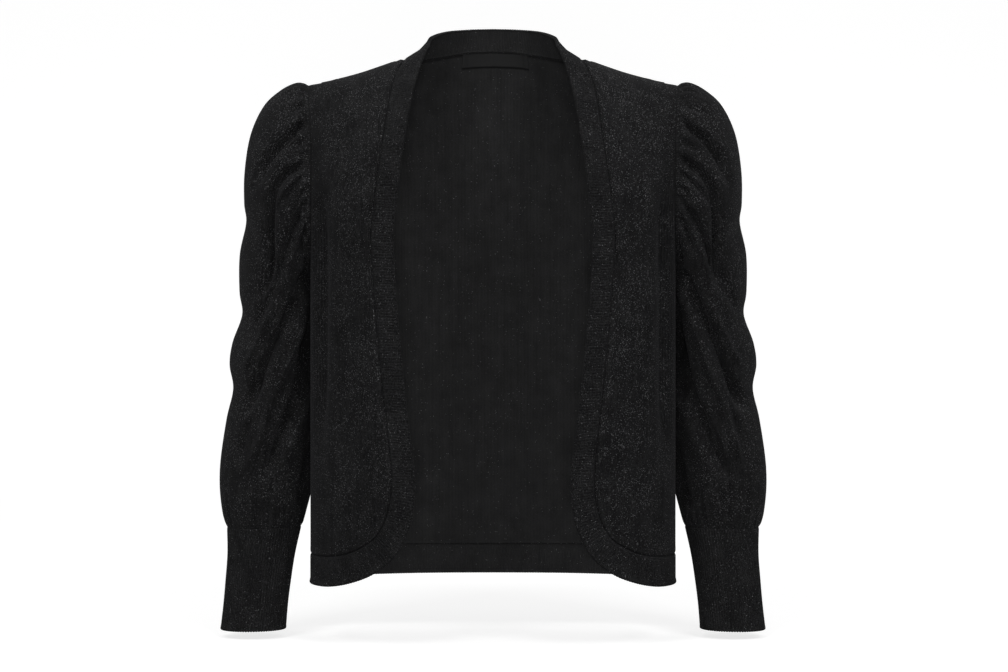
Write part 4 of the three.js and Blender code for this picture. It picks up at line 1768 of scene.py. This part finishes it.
@dataclass
class Cuff:
    """A long ribbed cuff."""

    finishes: Finishes
    side: Side
    rib: RibShape = RibShape(pitch=2.7, height=0.7, points=6, wall=2.0, seam_drop=0.2, edge_bead=0.3)
    steps: int = 14
    width: float = 102.0
    cut: Cut = Cut(0.20, 0.108, Hold.STRETCHED)

    def surface(self, turn: Array, share: Array) -> Array:
        """Gives the left cuff's outer face: turns round it, and shares from its seam to the wrist."""
        return section_point(CUFF, share * (len(CUFF) - 1), turn * math.tau)

    def build(self) -> list[bpy.types.Object]:
        """Makes the cuff.

        Returns:
            The cuff alone, in a list.
        """
        rows, distance = even_rows(self.surface, 0.0, 1.0, self.rib)
        grid = rib_grid(
            self.surface,
            rows,
            distance,
            self.width,
            self.steps,
            self.rib,
            lambda points: points[:, :-1].mean(1, keepdims=True),
            round_run=True,
        )
        piece = mesh_object(f"cuff_rib_{self.side.word}", grid, self.side)
        node = f"cuff_{self.side.word}"
        return [dress(piece, self.finishes.rib, node, self.finishes.lining)]


@dataclass
class Band:
    """The doubled rib of the fronts, the back neck and the back hem."""

    finishes: Finishes
    rib: RibShape = RibShape()
    steps: int = 6
    front_width: float = 23
    neck_width: float = 27
    hem_width: float = 30
    front_cut: Cut = Cut(0.64, 0.0275, Hold.STRETCHED)
    neck_cut: Cut = Cut(0.24, 0.028, Hold.STRETCHED)
    hem_cut: Cut = Cut(0.457, 0.031, Hold.STRETCHED)

    def front_surface(self, row: Array, share: Array) -> Array:
        """Gives the outer face of the left front's band."""
        return band_point(Face.FRONT, row, share)

    def neck_surface(self, row: Array, share: Array) -> Array:
        """Gives the outer face of the back neck's band.

        Args:
            row: Rows from the middle of the back. Those below 0 lie on the wearer's right.
            share: Shares of the way from the seam to the free edge.

        Returns:
            The points.
        """
        last = len(NECK_BAND) - 1
        return mirrored(band_point(Face.BACK, last - np.abs(row), share), row)

    def hem_surface(self, angle: Array, share: Array) -> Array:
        """Gives the outer face of the back hem.

        Args:
            angle: Angles round the body. Those below 0 lie on the wearer's right.
            share: Shares of the way from the seam to the free edge.

        Returns:
            The points.
        """
        z = blend(SIZES.hem_seam_z, SIZES.hem_z, share)
        return mirrored(form_point(Face.BACK, np.minimum(np.abs(angle), QUARTER), z), angle)

    def run(self, surface: Surface, low: float, high: float, width: float) -> Grid:
        """Gives the closed grid of one run of band.

        Args:
            surface: Gives points of its outer face from rows and shares across.
            low: The run's first row.
            high: Its last row.
            width: Its width from seam to free edge.

        Returns:
            The grid.
        """
        rows, distance = even_rows(surface, low, high, self.rib)
        return rib_grid(
            surface, rows, distance, width, self.steps, self.rib, lambda points: points * [0, 0, 1]
        )

    def build(self) -> list[bpy.types.Object]:
        """Makes all the bands.

        Returns:
            Both fronts' bands, the neck's and the back hem's.
        """
        pieces = []
        for side in Side:
            grid = self.run(self.front_surface, 0, len(FRONT_BAND) - 1, self.front_width)
            piece = mesh_object(f"front_band_rib_{side.word}", grid, side)
            node = f"front_band_{side.word}"
            pieces.append(
                dress(piece, self.finishes.rib, node, self.finishes.lining)
            )
        last = len(NECK_BAND) - 1
        neck = mesh_object("neck_band_rib", self.run(self.neck_surface, -last, last, self.neck_width))
        rib, lining = self.finishes.rib, self.finishes.lining
        pieces.append(dress(neck, rib, "neck_band", lining))
        hem = mesh_object("back_hem_rib", self.run(self.hem_surface, -QUARTER, QUARTER, self.hem_width))
        pieces.append(dress(hem, rib, "back_hem_band", lining))
        return pieces


@dataclass
class NeckLabel:
    """A blank woven label, its ends folded under, sewn below the back neck seam.

    Its ends lie at the shares `right` and `left` of the half back, its edges at the shares
    `bottom` and `top` up the panel. It lies `lift` inside the back's outer face.
    """

    finishes: Finishes
    right: float = -0.1
    left: float = 0.115
    bottom: float = 19 / 21
    top: float = 0.992
    lift: float = 2.15
    wall: float = 0.6
    turn_under: float = 5.0
    turn_soft: float = 0.8
    plump: float = 0.3
    edge: float = 0.35
    edge_width: float = 0.9
    columns: int = 73
    rows: int = 15
    cut: Cut = Cut(0.082, 0.0155, Hold.FOLDED)

    def build(self) -> list[bpy.types.Object]:
        """Makes the label.

        Returns:
            The label alone, in a list.
        """
        x = blend(self.right, self.left, np.linspace(0, 1, self.columns))
        u, v = np.meshgrid(np.abs(x), np.linspace(self.bottom, self.top, self.rows))
        points = form_point(Face.BACK, *PanelBorders(Face.BACK).place(u, v))
        points[..., 0] *= np.where(x < 0, -1, 1)[None]
        normal = grid_normals(points, False, points * [0, 0, 1])
        side = distance_along(points, 1)
        ends = np.minimum(side, side.max(1, keepdims=True) - side)
        doubled = 1 - ease(self.turn_under - self.turn_soft, self.turn_under + self.turn_soft, ends)
        rounded = 1 - ease(0, self.edge_width, ends)
        deep = self.lift + self.plump * doubled - self.edge * rounded
        uv = np.stack([side, distance_along(points, 0)], -1)
        piece = mesh_object("label_tape", Grid(points - normal * deep[..., None], uv, centre=ring_axis))
        thicken(piece, -self.wall)
        dress(piece, self.finishes.label, "neck_label")
        return [piece]


@dataclass
class Seams:
    """The linking stitches that lie in the grooves between the pieces.

    Stitches slant to and fro by `slant`. Their middles lie `sunk` deep in the seams of the bands
    and the hem, `shallow` in those between panels, and `at_shoulder` on the shoulders.
    """

    finishes: Finishes
    pitch: float = 2.7
    length: float = 5.4
    thickness: float = 1.2
    slant: float = 0.15
    sunk: float = 2.5
    shallow: float = 0.7
    at_shoulder: float = 0.9
    look_ahead: float = 0.4
    ball_segments: int = 6
    ball_rings: int = 4
    armhole_points: int = 240
    wrist_points: int = 200
    band_points: int = 400
    straight_points: int = 60
    neck_points: int = 200
    hem_points: int = 300
    end_clear: float = 1
    hem_clear: float = 2
    armhole_lean: float = 8
    band_lean: float = 0.35
    shoulder_lean: float = 0.1
    neck_lean: float = 20

    def stitch(self, index: int, here: Array, ahead: Array, out: Array, depth: float) -> Matrix:
        """Places one stitch.

        Args:
            index: Its number in the row, which says how it slants.
            here: Its place on the seam.
            ahead: The seam a little further on.
            out: The direction out of the cloth.
            depth: How deep its middle lies.

        Returns:
            What turns a ball of radius 1 into the stitch.
        """
        along = Vector(ahead - here).normalized()
        up = Vector(out).normalized()
        side = up.cross(along).normalized()
        along = (along + side * self.slant * (1 if index % 2 else -1)).normalized()
        side = up.cross(along).normalized()
        turn = Matrix((along, side, up)).transposed().to_4x4()
        size = Matrix.Diagonal((self.length / 2, self.thickness / 2, self.thickness / 2, 1))
        move = Matrix.Translation(Vector(here) - up * depth)
        return Matrix.Scale(MM, 4) @ move @ turn @ size

    def row(self, name: str, points: Array, normal: Array, depth: float) -> bpy.types.Object:
        """Makes one row of stitches along a seam.

        Args:
            name: The row's name.
            points: Closely spaced points of the seam.
            normal: The direction out of the cloth at each.
            depth: How deep the stitches' middles lie.

        Returns:
            The row of stitches.
        """
        run = distance_along(points[None], 1)[0]
        count = max(int(run[-1] / self.pitch), 1)
        places = (np.arange(count) + 0.5) * run[-1] / count
        bm = bmesh.new()
        for index, place in enumerate(places):
            here, ahead, out = (
                np.array([np.interp(at, run, line[:, k]) for k in range(3)])
                for at, line in ((place, points), (place + self.look_ahead, points), (place, normal))
            )
            bmesh.ops.create_uvsphere(
                bm,
                u_segments=self.ball_segments,
                v_segments=self.ball_rings,
                radius=1.0,
                matrix=self.stitch(index, here, ahead, out, depth),
            )
        bmesh.ops.recalc_face_normals(bm, faces=bm.faces)
        mesh = bpy.data.meshes.new(name)
        bm.to_mesh(mesh)
        bm.free()
        return dress(link_smooth(mesh), self.finishes.thread)

    def side_rows(self, side: Side) -> list[bpy.types.Object]:
        """Makes the rows of one side of the wearer.

        Args:
            side: The side.

        Returns:
            The rows of its armhole, cuff, band, side seam and shoulder.
        """
        flip = np.array([side.value, 1, 1])
        hole = armhole_point(np.linspace(0, math.tau, self.armhole_points))
        hole_out = unit(hole - hole.mean(0) + [self.armhole_lean, 0, 0])
        turn = np.linspace(0, math.tau, self.wrist_points)
        wrist = section_point(CUFF, np.zeros(turn.shape), turn)
        wrist_out = unit((wrist - wrist.mean(0)) * [1, 1, 0])
        rows = np.linspace(0, len(FRONT_BAND) - 1, self.band_points)
        band = band_point(Face.FRONT, rows, 0 * rows)
        band_out = unit(band * [self.band_lean, 1, 0])
        z = np.linspace(SIZES.hem_z + self.hem_clear, SIZES.under_z - self.end_clear, self.straight_points)
        flank = np.stack([SIZES.half + 0 * z, 0 * z, z], -1)
        flank_out = np.array([1.0, 0, 0]) + 0 * flank
        neck_x, tip_x = NECK_BAND[0].seam_x + self.end_clear, SIZES.tip_x - self.end_clear
        x = np.linspace(neck_x, tip_x, self.straight_points)
        shoulder = np.stack([x, 0 * x, smooth(SHOULDER, "z", x, "x")], -1)
        shoulder_out = np.array([self.shoulder_lean, 0, 1.0]) + 0 * shoulder
        return [
            self.row(f"{name}_stitches_{side.word}", line * flip, out * flip, depth)
            for name, line, out, depth in (
                ("armhole", hole, hole_out, self.shallow),
                ("cuff", wrist, wrist_out, self.shallow),
                ("band", band, band_out, self.sunk),
                ("side", flank, flank_out, self.shallow),
                ("shoulder", shoulder, shoulder_out, self.at_shoulder),
            )
        ]

    def build(self) -> list[bpy.types.Object]:
        """Makes the rows of stitches.

        Returns:
            The rows of both sides, of the neck and of the back hem.
        """
        pieces = [piece for side in Side for piece in self.side_rows(side)]
        last = len(NECK_BAND) - 1
        rows = np.linspace(-last, last, self.neck_points)
        band = Band(self.finishes)
        neck = band.neck_surface(rows, 0 * rows)
        neck_out = unit(neck * [1, 1, 0] + [0, 0, self.neck_lean])
        pieces.append(self.row("neck_stitches", neck, neck_out, self.sunk))
        angle = np.linspace(-QUARTER, QUARTER, self.hem_points)
        hem = band.hem_surface(angle, 0 * angle)
        pieces.append(self.row("hem_stitches", hem, unit(hem * [1, 1, 0]), self.sunk))
        return pieces


class Softbox(NamedTuple):
    """A square soft light: its place and side in metres and its power in watts."""

    name: str
    place: tuple[float, float, float]
    size: float
    power: float


@dataclass
class Studio:
    """The pale sweep, the soft lights and the camera, in metres.

    `sky` gives the heights on a ball of radius 1 between which the room's light changes, and its
    strengths at the two.
    """

    floor_z: float = -0.578
    floor_front: float = -3.2
    floor_back: float = 2.2
    sweep: float = 1.4
    wall: float = 2.2
    half_floor: float = 4.0
    distance: float = 2.5
    height: float = -0.275
    lens: float = 89.29
    sensor: float = 36.0
    shift: float = 11 / 1008
    backdrop: BackdropFinish = BackdropFinish()
    sky: tuple[float, float, float, float] = (-0.3, 0.7, 0.15, 0.42)
    lights: tuple[Softbox, ...] = (
        Softbox("left_softbox", (-1.5, -3.0, 2.7), 1.3, 59.0),
        Softbox("right_softbox", (1.5, -3.0, 2.7), 1.3, 59.0),
        Softbox("fill_softbox", (0.0, -3.0, -0.38), 0.36, 24.0),
    )

    def build(self) -> None:
        """Sets up the whole studio."""
        self.sweep_paper()
        self.world()
        bpy.context.scene.view_settings.view_transform = "Standard"
        for light in self.lights:
            self.hang(light)
        self.camera()

    def sweep_paper(self) -> None:
        """Makes the floor, which curves up into the backdrop."""
        bm = bmesh.new()
        bmesh.ops.create_grid(bm, x_segments=8, y_segments=48, size=1.0)
        flat = self.floor_back - self.floor_front
        rise = self.sweep * QUARTER
        for vert in bm.verts:
            run = (vert.co.y + 1) / 2 * (flat + rise + self.wall)
            turn = min(max(run - flat, 0) / self.sweep, QUARTER)
            up = max(run - flat - rise, 0)
            y = self.floor_front + min(run, flat) + self.sweep * math.sin(turn)
            z = self.floor_z + self.sweep * (1 - math.cos(turn)) + up
            vert.co = Vector((vert.co.x * self.half_floor, y, z))
        bmesh.ops.recalc_face_normals(bm, faces=bm.faces)
        mesh = bpy.data.meshes.new("sweep")
        bm.to_mesh(mesh)
        bm.free()
        mesh.materials.append(self.backdrop.material())
        paper = link_smooth(mesh)
        paper.visible_diffuse = False
        paper.visible_glossy = False

    def world(self) -> None:
        """Lights the room with soft white, most of it from above."""
        world = bpy.data.worlds.new("white_room")
        world.use_nodes = True
        background = world.node_tree.nodes["Background"]
        background.inputs["Color"].default_value = (1, 1, 1, 1)
        nodes, links = world.node_tree.nodes, world.node_tree.links
        where = nodes.new("ShaderNodeTexCoord")
        parts = nodes.new("ShaderNodeSeparateXYZ")
        level = nodes.new("ShaderNodeMapRange")
        for key, value in zip(("From Min", "From Max", "To Min", "To Max"), self.sky):
            level.inputs[key].default_value = value
        links.new(where.outputs["Generated"], parts.inputs[0])
        links.new(parts.outputs["Z"], level.inputs["Value"])
        links.new(level.outputs["Result"], background.inputs["Strength"])
        bpy.context.scene.world = world

    def hang(self, softbox: Softbox) -> None:
        """Hangs one softbox, facing the garment.

        Args:
            softbox: The softbox.
        """
        light = bpy.data.lights.new(softbox.name, "AREA")
        light.shape = "SQUARE"
        light.size = softbox.size
        light.energy = softbox.power
        lamp = bpy.data.objects.new(softbox.name, light)
        lamp.location = softbox.place
        target = Vector((0, 0, self.height))
        lamp.rotation_euler = (target - Vector(softbox.place)).to_track_quat("-Z", "Y").to_euler()
        bpy.context.collection.objects.link(lamp)

    def camera(self) -> None:
        """Sets the camera level with the middle of the garment, square to its front."""
        data = bpy.data.cameras.new("front_camera")
        data.lens = self.lens
        data.sensor_width = self.sensor
        data.shift_x = self.shift
        camera = bpy.data.objects.new("front_camera", data)
        camera.location = (0, -self.distance, self.height)
        camera.rotation_euler = (math.pi / 2, 0, 0)
        bpy.context.collection.objects.link(camera)
        bpy.context.scene.camera = camera


def report(piece: bpy.types.Object) -> None:
    """Logs a piece's triangles and its box, and the box of the solid that it stands for.

    Args:
        piece: The piece.
    """
    evaluated = piece.evaluated_get(bpy.context.evaluated_depsgraph_get())
    mesh = evaluated.to_mesh()
    mesh.calc_loop_triangles()
    count = len(mesh.loop_triangles)
    evaluated.to_mesh_clear()
    corners = np.array([list(corner) for corner in evaluated.bound_box]) / MM
    text = f"{piece.name}: {count} triangles, {corners.min(0).round(1)} to {corners.max(0).round(1)}"
    for node in piece.get("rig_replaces", []):
        low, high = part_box(node)
        text += f" for {[round(v / MM, 1) for v in low]} to {[round(v / MM, 1) for v in high]}"
    log.info(text)


def main() -> None:
    """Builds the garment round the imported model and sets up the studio."""
    logging.basicConfig(level=logging.INFO, format="%(name)s: %(message)s", stream=sys.stdout)
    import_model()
    Studio().build()
    finishes = Finishes()
    makers = [
        Body(finishes),
        *(Sleeve(finishes, side) for side in Side),
        *(Cuff(finishes, side) for side in Side),
        Band(finishes),
        NeckLabel(finishes),
        Seams(finishes),
    ]
    for maker in makers:
        for piece in maker.build():
            report(piece)


if __name__ == "__main__":
    main()
